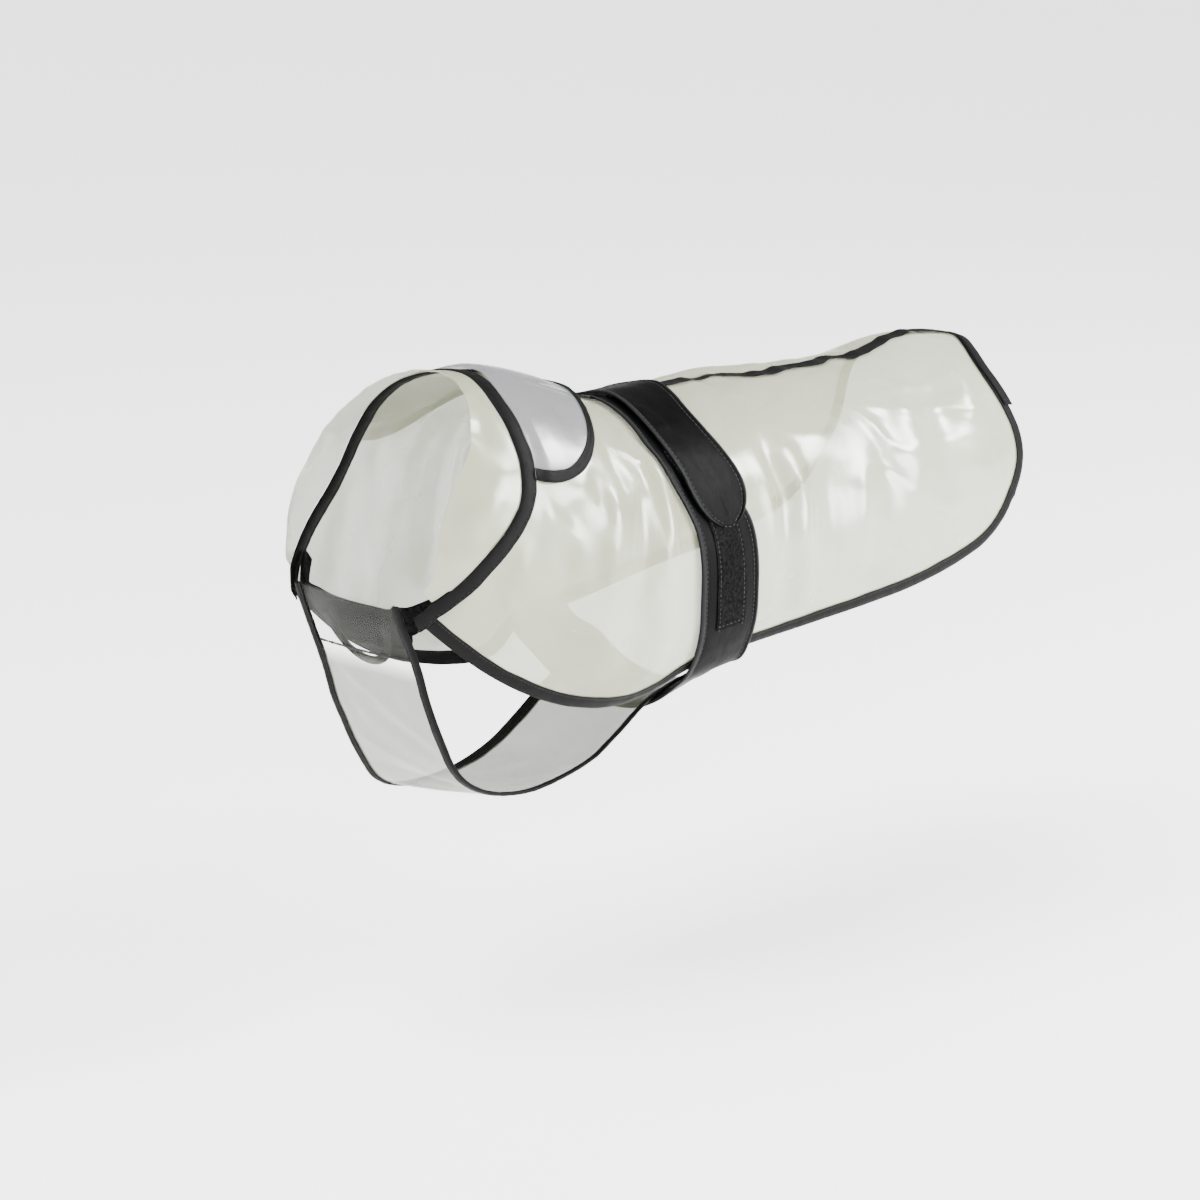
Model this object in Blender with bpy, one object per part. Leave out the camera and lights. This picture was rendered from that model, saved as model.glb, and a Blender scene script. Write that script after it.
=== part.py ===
"""A see-through dog raincoat as worn: film panels, folded bindings, hook-and-loop straps and belt.

Millimetres inside the tables and functions, metres in the meshes. +Z is up, the head end is at -Y and
the wearer's left is at +X. The origin is on the inside of the coat's back, at the middle of the belt.

A place on the coat is a station (mm along the body) and a turn (degrees round it, from the spine at 0
to the belly at 180, positive on the wearer's left). Every piece takes its points from that one surface,
moved out by its lift, so stacked pieces keep an even gap.
"""

import math

import bmesh
import bpy
import numpy as np

MM = 0.001

FILM = 1.0  # thickness of the coat's film
TAPE = 1.0  # thickness of one layer of binding tape
GAP = 0.3  # clearance between neighbouring pieces
BINDING_WIDTH = 9.5  # from the stitching line of a binding to the cut edge of the film
SPINE_TAPE_WIDTH = 11.0
BELT_WIDTH = 50.0
BELT_THICKNESS = 1.5
STRAP_THICKNESS = 1.5
PAD_THICKNESS = 1.0

OVER_FILM = FILM + GAP  # lift of what lies on the film
OVER_TAPE = OVER_FILM + TAPE + GAP  # lift of what also clears a tape

# The figure that the coat is cut for, as sections along the body. y and z place the section's middle,
# lean tips its top towards the head, and the two powers set how square its upper and lower halves are.
BODY = dict(
    columns=("station", "y", "z", "lean", "half_width", "up", "down", "power_up", "power_down"),
    rows=(
        (-240, -206, 3, 50, 54, 58, 70, 2.0, 2.3),  # collar
        (-185, -181, -22, 42, 71, 76, 96, 2.0, 2.5),  # neck seam
        (-100, -102, -66, 16, 85, 87, 122, 2.1, 2.6),  # shoulders
        (-30, -30, -90, 2, 88, 91, 97, 2.1, 2.2),  # front of the belt
        (30, 30, -92, 0, 88, 92, 93, 2.1, 2.1),  # rear of the belt
        (140, 140, -97, 0, 88, 91, 96, 2.1, 2.3),  # loin
        (210, 210, -98, 0, 86, 90, 98, 2.1, 2.3),  # hip
        (270, 270, -94, 0, 82, 91, 96, 2.1, 2.3),  # rump
        (340, 340, -100, 0, 70, 84, 90, 2.0, 2.2),  # tail
    ),
)

# The stitching lines of the bindings. The film's cut edge lies one binding width outside them.
# The way round runs from the spine to the hem line.
NECK_LINE = dict(
    columns=("share_of_the_way_round", "station"),
    rows=((0, -193), (0.25, -196), (0.37, -186), (0.51, -171), (0.67, -162), (0.82, -168), (1, -174)),
)
HEM_LINE = dict(
    columns=("station", "turn"),
    rows=(
        (-174, 131), (-150, 129), (-90, 127), (-73, 129), (-56, 131), (-44, 130), (-30, 124), (-18, 121.5),
        (34, 119), (63, 116), (95, 112), (130, 108.5), (165, 106), (200, 103), (250, 99), (300, 97),
    ),
)
REAR_LINE = dict(
    columns=("share_of_the_way_round", "station"),
    rows=((0, 303), (0.06, 300), (0.21, 286), (0.35, 276), (0.48, 275), (0.62, 279), (0.78, 284), (1, 285)),
)
COLLAR_EDGE = dict(
    columns=("turn", "station"),
    rows=((0, -243), (50, -238), (76, -229), (92, -225), (107, -213), (121, -194), (131, -189)),
)
COLLAR_CLEARANCE = TAPE + 3 * GAP  # from the cut edge at the neck to the collar, past the binding's fold
COLLAR_LEAST_WIDTH = 3.0
REAR_CORNER_RADIUS = 52.0
REAR_CORNER_SPAN = (470.0, 152.0)  # the coat's length and half girth there, which that radius is a share of

# Creases of the film. A positive height is a ridge and a negative one a trough. The slant is in stations
# for each degree of turn, so that a crease runs askew.
FOLDS = dict(
    columns=("station", "from_turn", "to_turn", "half_width", "height", "slant"),
    rows=(
        (-58, 38, 128, 9, 3.2, 0.05), (-76, 58, 124, 8, -2.4, 0.12), (-98, 62, 126, 12, 2.2, 0.20),
        (-128, 70, 128, 10, -1.8, 0.25), (-150, 86, 128, 8, 1.4, 0.20),
        (46, 48, 112, 8, -2.2, -0.10), (64, 40, 116, 10, 2.4, -0.10), (92, 52, 104, 11, -2.2, -0.22),
        (118, 60, 106, 10, 1.8, -0.25), (150, 44, 92, 12, -1.6, -0.30), (182, 30, 84, 12, 2.2, -0.35),
        (222, 22, 70, 12, -1.8, -0.40), (252, 18, 62, 9, 1.6, -0.30),
        (-56, -126, -44, 9, 2.8, -0.06), (-80, -124, -60, 9, -2.4, -0.10),
        (-112, -128, -66, 13, 2.2, -0.22), (-146, -128, -84, 9, -1.6, -0.20),
        (50, -116, -42, 9, 2.4, 0.12), (74, -106, -50, 10, -2.2, 0.20), (108, -110, -40, 12, 2.0, 0.25),
        (142, -96, -50, 11, -1.8, 0.30), (190, -88, -26, 13, 2.2, 0.35), (240, -70, -20, 11, -1.8, 0.35),
    ),
)
FOLD_FADE = 14.0  # degrees of turn over which a crease dies out at either end
FOLD_FREE_BELT = dict(half_width=26.0, fade=24.0)  # stations beside the belt's middle that stay uncreased
# Where the seam under the spine tape strays from the middle of the back.
SEAM_WANDER = dict(
    columns=("station", "turn"),
    rows=(
        (-200, 0), (-60, 0.6), (20, 0), (45, -1.6), (80, -2.6), (104, 3.2), (128, 3.4), (146, 1.0),
        (170, 2.6), (186, -1.6), (204, 2.4), (226, 0.6), (252, -1.6), (300, 0),
    ),
)
# The pucker that the seam's stitching draws into the film and the tape, in stations and degrees of turn.
SEAM_PUCKER = dict(height=1.1, length=27.0, turn=9.0, starts=30.0, ends=290.0, fade=30.0)

SPINE_TAPE_LIFTS = (OVER_FILM, OVER_FILM + TAPE)

# The square cut end of the hem tape beside the tail, which laps the binding and stands out beyond it.
REAR_TAPE = dict(
    columns=("turn", "beyond_the_cut_edge"),
    rows=((9, 2.0), (22, 3.5), (34, 7.0), (46, 9.5), (56, 9.0)),
)
REAR_TAPE_WIDTH = 11.0
REAR_TAPE_STEPS = 8

# The chest panel by the distance down its middle, from the throat to the belt: where its two side edges
# run, and how far its middle stands out from the straight line between them. It hangs a little twisted.
CHEST = dict(
    columns=("down", "half_width", "right_y", "right_z", "left_y", "left_z", "crown"),
    rows=(
        (0, 42.5, -234.5, -78, -233.5, -78, 2), (13, 42.5, -230.5, -90, -229, -90, 2),
        (28, 42.5, -225, -104, -222.5, -104, 1.5), (45, 42.5, -218.5, -120, -216, -120, 1),
        (62, 42.5, -212.5, -136, -211, -136, 1), (79, 42.5, -207.5, -152, -205, -151.5, 1),
        (97, 42.5, -200, -168, -197.5, -168, 1), (113, 42.5, -193, -182.5, -190.5, -182, 1),
        (129, 42.5, -185, -196, -180.5, -193.5, 1), (145, 42.5, -175.5, -209, -167, -202, 1),
        (162, 42.5, -161, -217, -151, -207.5, 1.5), (187, 42.4, -136.5, -220, -126, -211, 3),
        (217, 42.2, -107, -218, -97, -208.5, 6), (248, 42, -77.5, -209.5, -71, -202.5, 9),
        (269, 41.4, -59, -199, -57, -196, 10.5), (285, 41, -46, -190.5, -46, -190.5, 11),
        (297, 41, -37, -185, -37, -185, 11), (308, 41, -28, -180, -28, -180, 11),
        (318, 41, -19, -176.2, -19, -176.2, 10.3), (337, 41, 0, -170.8, 0, -170.8, 13),
        (362, 41, 25, -167.4, 25, -167.4, 14.2),
    ),
)
CHEST_BINDING_WIDTH = 5.6
CHEST_STEPS = 30
THROAT_HEM = 40.0  # depth of the hem folded to the inside at the throat
THROAT_HEM_INSET = 1.5  # from the hem's side edges to the panel's bindings

# The D-shaped flap at the back of the neck: half its width is in degrees of turn along the neck seam.
FLAP = dict(half_width=73.5, length=109.0, narrowing=0.35, border=8.0, border_turn=6.4)
FLAP_LIFT = OVER_TAPE + TAPE + 3 * GAP
# The rounded tab sewn behind the chest panel, with its straight edge this far down from the throat.
TAB = dict(half_width=26.0, length=30.0, border=5.0, middle=-3.0, down=20.0, behind=3.0)

# The belt's middle line by turn. It runs on past the full circle, where its end laps its start. The tilt
# is how much further out its front edge stands than its rear edge, where the belly rises to the rear.
BELT_LAPPED = OVER_TAPE + BELT_THICKNESS + PAD_THICKNESS + 3 * GAP
BELT_LINE = dict(
    columns=("turn", "station", "lift", "tilt"),
    rows=(
        (14, -26, OVER_TAPE, 0), (30, -30, OVER_TAPE, 0), (44, -31, OVER_TAPE, 0), (56, -24, OVER_TAPE, 0),
        (66, -16, OVER_TAPE, 0), (75, -10, OVER_TAPE, 0), (86, -7.5, OVER_TAPE, 0), (98, -6, OVER_TAPE, 0),
        (110, -2.5, OVER_TAPE, 0), (121, 0, OVER_TAPE, 0), (131, 1.5, OVER_TAPE, 0), (141, 3.5, -1.9, 6),
        (152, 5, -1.6, 6.2), (165, 6.5, 0, 5.5), (180, 7, 0.2, 5), (195, 6.5, 0, 5.5), (208, 5, -1.6, 6.2),
        (219, 3.5, -1.9, 6), (229, 1.5, OVER_TAPE, 0), (250, -2, OVER_TAPE, 0), (300, -4, OVER_TAPE, 0),
        (330, -3, OVER_TAPE, 0), (350, -3, OVER_TAPE, 0), (364, -6, BELT_LAPPED, 0),
        (375, -12, BELT_LAPPED, 0), (386, -18, BELT_LAPPED, 0), (397, -19, BELT_LAPPED, 0),
        (406, -16.5, BELT_LAPPED, 0), (415, -13, BELT_LAPPED, 0), (424, -11, BELT_LAPPED, 0),
        (434, -9, BELT_LAPPED, 0),
    ),
)
BELT_STEP = 6.0  # degrees of turn between sections
BELT_TIP_TURN = 16.0  # degrees over which the end rounds off
BELT_TIP_SHARES = (1, 0.6, 0.32, 0.14, 0.03)  # the rounding's sections, from its start to the tip
PAD_TURNS = (44.0, 110.0)
PAD_HALF_WIDTH = 12.4

# The two hook-and-loop straps that close the throat. Each starts at its rounded end behind the other side
# of the chest panel and ends inside its own side's tip of the coat.
STRAP_IN_PANEL = dict(
    columns=("across", "down", "half_height"),
    rows=(
        (-33, 25, 3.5), (-31, 25, 8.5), (-27, 25, 12), (-20, 25, 13.6), (-12, 25, 14), (0, 25, 14),
        (12, 25, 14), (24, 23, 13.4), (34, 18.5, 11.6), (44, 14, 9.5),
    ),
)
STRAP_ON_COAT = dict(columns=("station", "turn", "half_height"), rows=((-176, 126, 10.5), (-168, 125, 10)))
STRAPS = dict(left=dict(side=1, behind=6.2), right=dict(side=-1, behind=8.2))
STRAP_ON_COAT_LIFT = -2 * (TAPE + GAP) - 0.2  # clear of the neck binding's inner fold

SAME_PLACE = 1e-4  # points nearer than this are one
SHARP_ANGLE = math.radians(40)
COAT_COLUMNS = 38
COAT_ROWS = 13
BESIDE_SPINE_TAPE = 0.042  # about the share of the way round at which the spine tape ends
COLLAR_ROWS = 4
FLAP_SPOKES = 20
FLAP_RINGS = 4
TAB_SPOKES = 12


def rows_of(table):
    return np.array(table["rows"], dtype=float)


def read_table(table, place):
    """The table's other columns at each place in its first one, on a smooth curve through the rows."""
    rows = rows_of(table)
    keys, values = rows[:, 0], rows[:, 1:]
    slopes = np.diff(values, axis=0) / np.diff(keys)[:, None]
    tangents = np.vstack([slopes[:1], (slopes[1:] + slopes[:-1]) / 2, slopes[-1:]])
    place = np.asarray(place, dtype=float)
    row = np.clip(np.searchsorted(keys, place) - 1, 0, len(keys) - 2)
    step = (keys[row + 1] - keys[row])[..., None]
    t = (place - keys[row])[..., None] / step
    start = (2 * t**3 - 3 * t**2 + 1) * values[row] + (t**3 - 2 * t**2 + t) * step * tangents[row]
    end = (3 * t**2 - 2 * t**3) * values[row + 1] + (t**3 - t**2) * step * tangents[row + 1]
    return start + end


def smoothstep(value):
    value = np.clip(value, 0.0, 1.0)
    return value * value * (3 - 2 * value)


def body_point(station, turn):
    """A point on the figure's surface, in millimetres."""
    station, turn = np.broadcast_arrays(np.asarray(station, float), np.asarray(turn, float))
    y, z, lean, half_width, up, down, power_up, power_down = np.moveaxis(read_table(BODY, station), -1, 0)
    across, along = np.sin(np.radians(turn)), np.cos(np.radians(turn))
    power = np.where(along >= 0, power_up, power_down)
    reach = np.where(along >= 0, up, down) * np.sign(along) * np.abs(along) ** (2 / power)
    x = half_width * np.sign(across) * np.abs(across) ** (2 / power)
    return np.stack([x, y + reach * np.sin(np.radians(lean)), z + reach * np.cos(np.radians(lean))], -1)


def body_normal(station, turn):
    """The outward unit normal of the figure's surface."""
    along = body_point(np.asarray(station) + 1.0, turn) - body_point(np.asarray(station) - 1.0, turn)
    around = body_point(station, np.asarray(turn) + 1.5) - body_point(station, np.asarray(turn) - 1.5)
    normal = np.cross(around, along)
    return normal / np.linalg.norm(normal, axis=-1, keepdims=True)


def degrees_per_mm(station, turn):
    around = body_point(station, np.asarray(turn) + 1.0) - body_point(station, np.asarray(turn) - 1.0)
    return 2.0 / np.linalg.norm(around, axis=-1)


def stations_per_mm(station, turn):
    along = body_point(np.asarray(station) + 1.0, turn) - body_point(np.asarray(station) - 1.0, turn)
    return 2.0 / np.linalg.norm(along, axis=-1)


def fold_height(station, turn):
    """How far the creases lift the film off the figure. They die out under the belt."""
    height = np.zeros(np.broadcast(station, turn).shape)
    for middle, from_turn, to_turn, half_width, peak, slant in rows_of(FOLDS):
        run = smoothstep((turn - from_turn) / FOLD_FADE) * smoothstep((to_turn - turn) / FOLD_FADE)
        offset = station - middle - slant * (turn - (from_turn + to_turn) / 2)
        height = height + peak * run * np.exp(-((offset / half_width) ** 2))
    waves = np.cos(2 * np.pi * station / SEAM_PUCKER["length"])
    near_seam = np.exp(-((turn / SEAM_PUCKER["turn"]) ** 2))
    from_start = smoothstep((station - SEAM_PUCKER["starts"]) / SEAM_PUCKER["fade"])
    to_end = smoothstep((SEAM_PUCKER["ends"] - station) / SEAM_PUCKER["fade"])
    height = height + SEAM_PUCKER["height"] * waves * near_seam * from_start * to_end
    beside_belt = (np.abs(station) - FOLD_FREE_BELT["half_width"]) / FOLD_FREE_BELT["fade"]
    return height * smoothstep(beside_belt)


def cloth_point(station, turn, lift):
    """A point of the coat's surface, moved out by the lift."""
    out = np.asarray(lift, float) + fold_height(np.asarray(station, float), np.asarray(turn, float))
    return body_point(station, turn) + body_normal(station, turn) * out[..., None]


def new_material(name, colour, roughness, alpha=1.0):
    material = bpy.data.materials.new(name)
    material.use_nodes = True
    shader = material.node_tree.nodes["Principled BSDF"]
    shader.inputs["Base Color"].default_value = (*colour, 1.0)
    shader.inputs["Roughness"].default_value = roughness
    shader.inputs["Metallic"].default_value = 0.0
    shader.inputs["Alpha"].default_value = alpha
    return material


FILM_LOOK = dict(name="frosted_film", colour=(0.66, 0.68, 0.67), roughness=0.25, alpha=0.6)
TAPE_LOOK = dict(name="binding_tape", colour=(0.035, 0.036, 0.035), roughness=0.7)
WEBBING_LOOK = dict(name="belt_webbing", colour=(0.02, 0.02, 0.022), roughness=0.5)
FASTENER_LOOK = dict(name="hook_and_loop", colour=(0.012, 0.012, 0.013), roughness=0.9)


def finish_solid(name, mesh, look):
    """Makes one closed body of the mesh, in metres, with its faces out, and gives it its material."""
    bmesh.ops.remove_doubles(mesh, verts=mesh.verts, dist=SAME_PLACE)
    bmesh.ops.scale(mesh, vec=(MM, MM, MM), verts=mesh.verts)
    bmesh.ops.triangulate(mesh, faces=mesh.faces)
    bmesh.ops.recalc_face_normals(mesh, faces=mesh.faces)
    if mesh.calc_volume(signed=True) < 0:
        bmesh.ops.reverse_faces(mesh, faces=mesh.faces)
    data = bpy.data.meshes.new(name)
    mesh.to_mesh(data)
    mesh.free()
    data.shade_smooth()
    data.set_sharp_from_angle(angle=SHARP_ANGLE)
    piece = bpy.data.objects.new(name, data)
    material = bpy.data.materials.get(look["name"]) or new_material(**look)
    data.materials.append(material)
    bpy.context.collection.objects.link(piece)
    return piece


def add_face(mesh, corners):
    """Adds a face unless its corners coincide so far that no area is left."""
    kept = []
    for corner in corners:
        if all((corner.co - other.co).length > SAME_PLACE for other in kept):
            kept.append(corner)
    if len(kept) > 2:
        mesh.faces.new(kept)


def wall(name, inside, outside, look):
    """A closed wall between two grids of points, each of shape (columns, rows, 3)."""
    mesh = bmesh.new()
    inner = [[mesh.verts.new(point) for point in column] for column in inside]
    outer = [[mesh.verts.new(point) for point in column] for column in outside]
    columns, rows = len(inner), len(inner[0])
    for i in range(columns - 1):
        for j in range(rows - 1):
            add_face(mesh, (outer[i][j], outer[i + 1][j], outer[i + 1][j + 1], outer[i][j + 1]))
            add_face(mesh, (inner[i][j], inner[i][j + 1], inner[i + 1][j + 1], inner[i + 1][j]))
    rim = [(i, 0) for i in range(columns)] + [(columns - 1, j) for j in range(1, rows)]
    rim += [(i, rows - 1) for i in range(columns - 2, -1, -1)] + [(0, j) for j in range(rows - 2, 0, -1)]
    for (i, j), (k, m) in zip(rim, rim[1:] + rim[:1]):
        add_face(mesh, (inner[i][j], inner[k][m], outer[k][m], outer[i][j]))
    return finish_solid(name, mesh, look)


def strip(name, sections, look):
    """A closed solid through sections of equal point counts, capped at both ends."""
    mesh = bmesh.new()
    loops = [[mesh.verts.new(point) for point in section] for section in sections]
    for here, there in zip(loops, loops[1:]):
        for k in range(len(here)):
            after = (k + 1) % len(here)
            add_face(mesh, (here[k], here[after], there[after], there[k]))
    add_face(mesh, loops[0][::-1])
    add_face(mesh, loops[-1])
    return finish_solid(name, mesh, look)


def folded_binding(stitched, cut, thickness=FILM):
    """Sections of a tape folded over a cut edge. Each argument gives points by lift."""
    sections = []
    count = len(cut(0.0))
    under, over = -GAP, thickness + GAP
    levels = {lift: (stitched(lift), cut(lift)) for lift in (under - TAPE, under, over, over + TAPE)}
    for k in range(count):

        def corner(lift, beyond=None):
            inner, edge = levels[lift][0][k], levels[lift][1][k]
            if beyond is None:
                return inner
            return edge + (edge - inner) / np.linalg.norm(edge - inner) * beyond

        sections.append(
            [
                corner(under - TAPE),
                corner(under - TAPE, GAP + TAPE),
                corner(over + TAPE, GAP + TAPE),
                corner(over + TAPE),
                corner(over),
                corner(over, GAP),
                corner(under, GAP),
                corner(under),
            ]
        )
    return sections


def round_corner(along, around):
    """Rounds the rear lower corner of the unit square by bending its grid into a quarter ellipse."""
    start_along, start_around = (1 - REAR_CORNER_RADIUS / span for span in REAR_CORNER_SPAN)
    x = np.clip((along - start_along) / (1 - start_along), 0, 1)
    y = np.clip((around - start_around) / (1 - start_around), 0, 1)
    bent_x, bent_y = x * np.sqrt(1 - y**2 / 2), y * np.sqrt(1 - x**2 / 2)
    return along + (bent_x - x) * (1 - start_along), around + (bent_y - y) * (1 - start_around)


def stitched_grid(side):
    """Station and turn of the coat half inside its stitching lines, as (columns, rows) grids."""
    shares = np.append(0.0, np.linspace(BESIDE_SPINE_TAPE, 1, COAT_ROWS))
    along, around = np.meshgrid(np.linspace(0, 1, COAT_COLUMNS + 1), shares, indexing="ij")
    along, around = round_corner(along, around)
    front = read_table(NECK_LINE, around)[..., 0]
    rear = read_table(REAR_LINE, around)[..., 0]
    station = front + along * (rear - front)
    hem = read_table(HEM_LINE, station)[..., 0]
    seam = read_table(SEAM_WANDER, station)[..., 0]
    per_mm = degrees_per_mm(station, seam)
    turn = seam + side * GAP / 2 * per_mm + around * (side * hem - seam)
    turn[:, 1] = (seam + side * SPINE_TAPE_WIDTH / 2 * per_mm)[:, 1]
    return station, turn


def outward(station, turn, before, after, distance):
    """Moves places sideways from a line that runs from before to after: a positive distance to its left
    on a page with station upwards and turn to the right."""
    degrees, stations = degrees_per_mm(station, turn), stations_per_mm(station, turn)
    run_along = (after[0] - before[0]) / stations
    run_around = (after[1] - before[1]) / degrees
    share = distance / np.hypot(run_along, run_around)
    return station + run_around * share * stations, turn - run_along * share * degrees


def coat_grid(side):
    """The whole coat half: the stitched grid with one more column at each end and one more row."""
    station, turn = stitched_grid(side)
    columns, rows = station.shape

    def offset(i, j, before, after, sign):
        pair = (station[before], turn[before]), (station[after], turn[after])
        return outward(station[i, j], turn[i, j], *pair, sign * side * BINDING_WIDTH)

    wide_station = np.empty((columns + 2, rows + 1))
    wide_turn = np.empty((columns + 2, rows + 1))
    wide_station[1:-1, :-1], wide_turn[1:-1, :-1] = station, turn
    for j in range(rows):
        below, above = max(j - 1, 0), min(j + 1, rows - 1)
        wide_station[0, j], wide_turn[0, j] = offset(0, j, (0, below), (0, above), -1)
        if j < rows - 1:
            wide_station[-1, j], wide_turn[-1, j] = offset(-1, j, (-1, below), (-1, above), 1)
    for i in range(columns):
        before, after = max(i - 1, 0), min(i + 1, columns - 1)
        if i < columns - 1:
            wide_station[i + 1, -1], wide_turn[i + 1, -1] = offset(i, -1, (before, -1), (after, -1), -1)
    wide_turn[0, 0], wide_turn[-1, 0] = turn[0, 0], turn[-1, 0]
    tip = wide_station[1, -1] + wide_station[0, -2] - station[0, -1]
    wide_station[0, -1] = tip
    wide_turn[0, -1] = wide_turn[1, -1] + wide_turn[0, -2] - turn[0, -1]
    corner = offset(-1, -1, (-2, -1), (-1, -2), -1)
    for i, j in ((-1, -2), (-2, -1), (-1, -1)):
        wide_station[i, j], wide_turn[i, j] = corner
    return wide_station, wide_turn


def make_coat(grids):
    for name, side in (("coat_left", 1), ("coat_right", -1)):
        station, turn = grids[side]
        wall(name, cloth_point(station, turn, 0.0), cloth_point(station, turn, FILM), FILM_LOOK)


def border(grids, pick):
    """Joins a border of the two halves into one run of places: right side reversed, then left side."""
    right, left = pick(*grids[-1]), pick(*grids[1])
    return [np.concatenate([r[::-1], k[1:]]) for r, k in zip(right, left)]


def make_neck_binding(grids):
    cut = border(grids, lambda station, turn: (station[0], turn[0]))
    stitched = border(grids, lambda station, turn: (station[1], turn[1]))
    sections = folded_binding(
        lambda lift: cloth_point(*stitched, lift), lambda lift: cloth_point(*cut, lift)
    )
    strip("neck_binding", sections, TAPE_LOOK)


def trim_ends(sections, by):
    """Draws the end sections in along the strip, so that it stops short of its neighbour."""
    for end, following in ((0, 1), (-1, -2)):
        here, there = np.array(sections[end]), np.array(sections[following])
        step = there - here
        sections[end] = here + step * (by / np.linalg.norm(step, axis=1, keepdims=True))
    return sections


def along_rear_and_hem(column, row):
    """Picks the places up a rear column and along a hem row, from the spine to the neck binding."""

    def pick(station, turn):
        rear = station[column, :-1], turn[column, :-1]
        hem = station[1:-1, row], turn[1:-1, row]
        return [np.concatenate([r, h[::-1]]) for r, h in zip(rear, hem)]

    return pick


def make_hem_binding(grids):
    cut = border(grids, along_rear_and_hem(-1, -1))
    stitched = border(grids, along_rear_and_hem(-2, -2))
    sections = folded_binding(
        lambda lift: cloth_point(*stitched, lift), lambda lift: cloth_point(*cut, lift)
    )
    strip("hem_binding", trim_ends(sections, GAP), TAPE_LOOK)


def make_spine_tape(grids):
    """The tape ends with the coat's first rows, so that its underside has the same facets."""
    right, left = ([axis[1:-1, 1] for axis in grids[side]] for side in (-1, 1))
    middle = grids[1][0][1:-1, 0]
    lines = [right, [middle, read_table(SEAM_WANDER, middle)[..., 0]], left]
    low, high = SPINE_TAPE_LIFTS
    points = [cloth_point(*line, low) for line in lines]
    points += [cloth_point(*line, high) for line in lines[::-1]]
    strip("spine_tape", trim_ends(list(np.stack(points, 1)), GAP), TAPE_LOOK)


def make_rear_tape_end(grids):
    station, turn = grids[1]
    cut_station, cut_turn = station[-1, :-1], turn[-1, :-1]
    first, last = rows_of(REAR_TAPE)[0, 0], rows_of(REAR_TAPE)[-1, 0]
    places = np.linspace(first, last, REAR_TAPE_STEPS + 1)
    outer = np.interp(places, cut_turn, cut_station) + read_table(REAR_TAPE, places)[..., 0]
    low, high = OVER_TAPE, OVER_TAPE + TAPE
    across = (outer - REAR_TAPE_WIDTH, outer - REAR_TAPE_WIDTH / 2, outer)
    ring = [(place, low) for place in across] + [(place, high) for place in across[::-1]]
    points = [cloth_point(place, places, lift) for place, lift in ring]
    strip("rear_tape_end", list(np.stack(points, 1)), TAPE_LOOK)


def make_collar(grids):
    cut_station, cut_turn = border(grids, lambda station, turn: (station[0, :-1], turn[0, :-1]))
    cut = np.stack([cut_station, cut_turn])
    before, after = cut[:, [0, *range(cut.shape[1] - 1)]], cut[:, [*range(1, cut.shape[1]), -1]]
    back, back_turn = outward(cut_station, cut_turn, before, after, -COLLAR_CLEARANCE)
    edge = read_table(COLLAR_EDGE, np.abs(cut_turn))[..., 0]
    front = np.minimum(edge, back - COLLAR_LEAST_WIDTH)
    share = np.linspace(0, 1, COLLAR_ROWS + 1)
    station = back[:, None] + share * (front - back)[:, None]
    turn = back_turn[:, None] + share * (cut_turn - back_turn)[:, None]
    wall("collar", cloth_point(station, turn, 0.0), cloth_point(station, turn, FILM), FILM_LOOK)


def half_disc(half_width, length, border_across, border_along, spokes, rings):
    """Places across and along a D shape, as (spokes, rings) grids whose last step is its border."""
    angle = np.linspace(-math.pi / 2, math.pi / 2, spokes + 1)[:, None]
    share = np.linspace(0, 1, rings + 1)[None, :]
    across = np.sin(angle) * np.append(share * (half_width - border_across), [[half_width]], 1)
    along = np.cos(angle) * np.append(share * (length - border_along), [[length]], 1)
    return across, along


def make_neck_flap():
    turn, along = half_disc(
        FLAP["half_width"], FLAP["length"], FLAP["border_turn"], FLAP["border"], FLAP_SPOKES, FLAP_RINGS
    )
    narrowing = 1 - FLAP["narrowing"] * (turn / FLAP["half_width"]) ** 2
    share_round = np.abs(turn) / rows_of(HEM_LINE)[0, 1]
    station = read_table(NECK_LINE, share_round)[..., 0] + 2 * GAP + along * narrowing
    inside, outside = (cloth_point(station, turn, lift) for lift in (FLAP_LIFT, FLAP_LIFT + FILM))
    wall("neck_flap", inside, outside, FILM_LOOK)
    sections = folded_binding(
        lambda more: cloth_point(station[:, -2], turn[:, -2], FLAP_LIFT + more),
        lambda more: cloth_point(station[:, -1], turn[:, -1], FLAP_LIFT + more),
    )
    strip("neck_flap_binding", sections, TAPE_LOOK)


def chest_point(down, across, lift):
    """A point of the chest panel: down from the throat, across from its middle, out from its inside."""
    down, across = np.broadcast_arrays(np.asarray(down, float), np.asarray(across, float))
    half_width, right_y, right_z, left_y, left_z, crown = np.moveaxis(read_table(CHEST, down), -1, 0)
    share = across / half_width
    to_left = (1 + share) / 2
    y, z = right_y + (left_y - right_y) * to_left, right_z + (left_z - right_z) * to_left
    step = read_table(CHEST, down + 1.0) - read_table(CHEST, down - 1.0)
    ahead = step[..., 1:3] + (step[..., 3:5] - step[..., 1:3]) * to_left[..., None]
    ahead = ahead / np.linalg.norm(ahead, axis=-1, keepdims=True)
    out = np.asarray(lift, float) + crown * (1 - share**2)
    return np.stack([across, y + ahead[..., 1] * out, z - ahead[..., 0] * out], -1)


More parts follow.
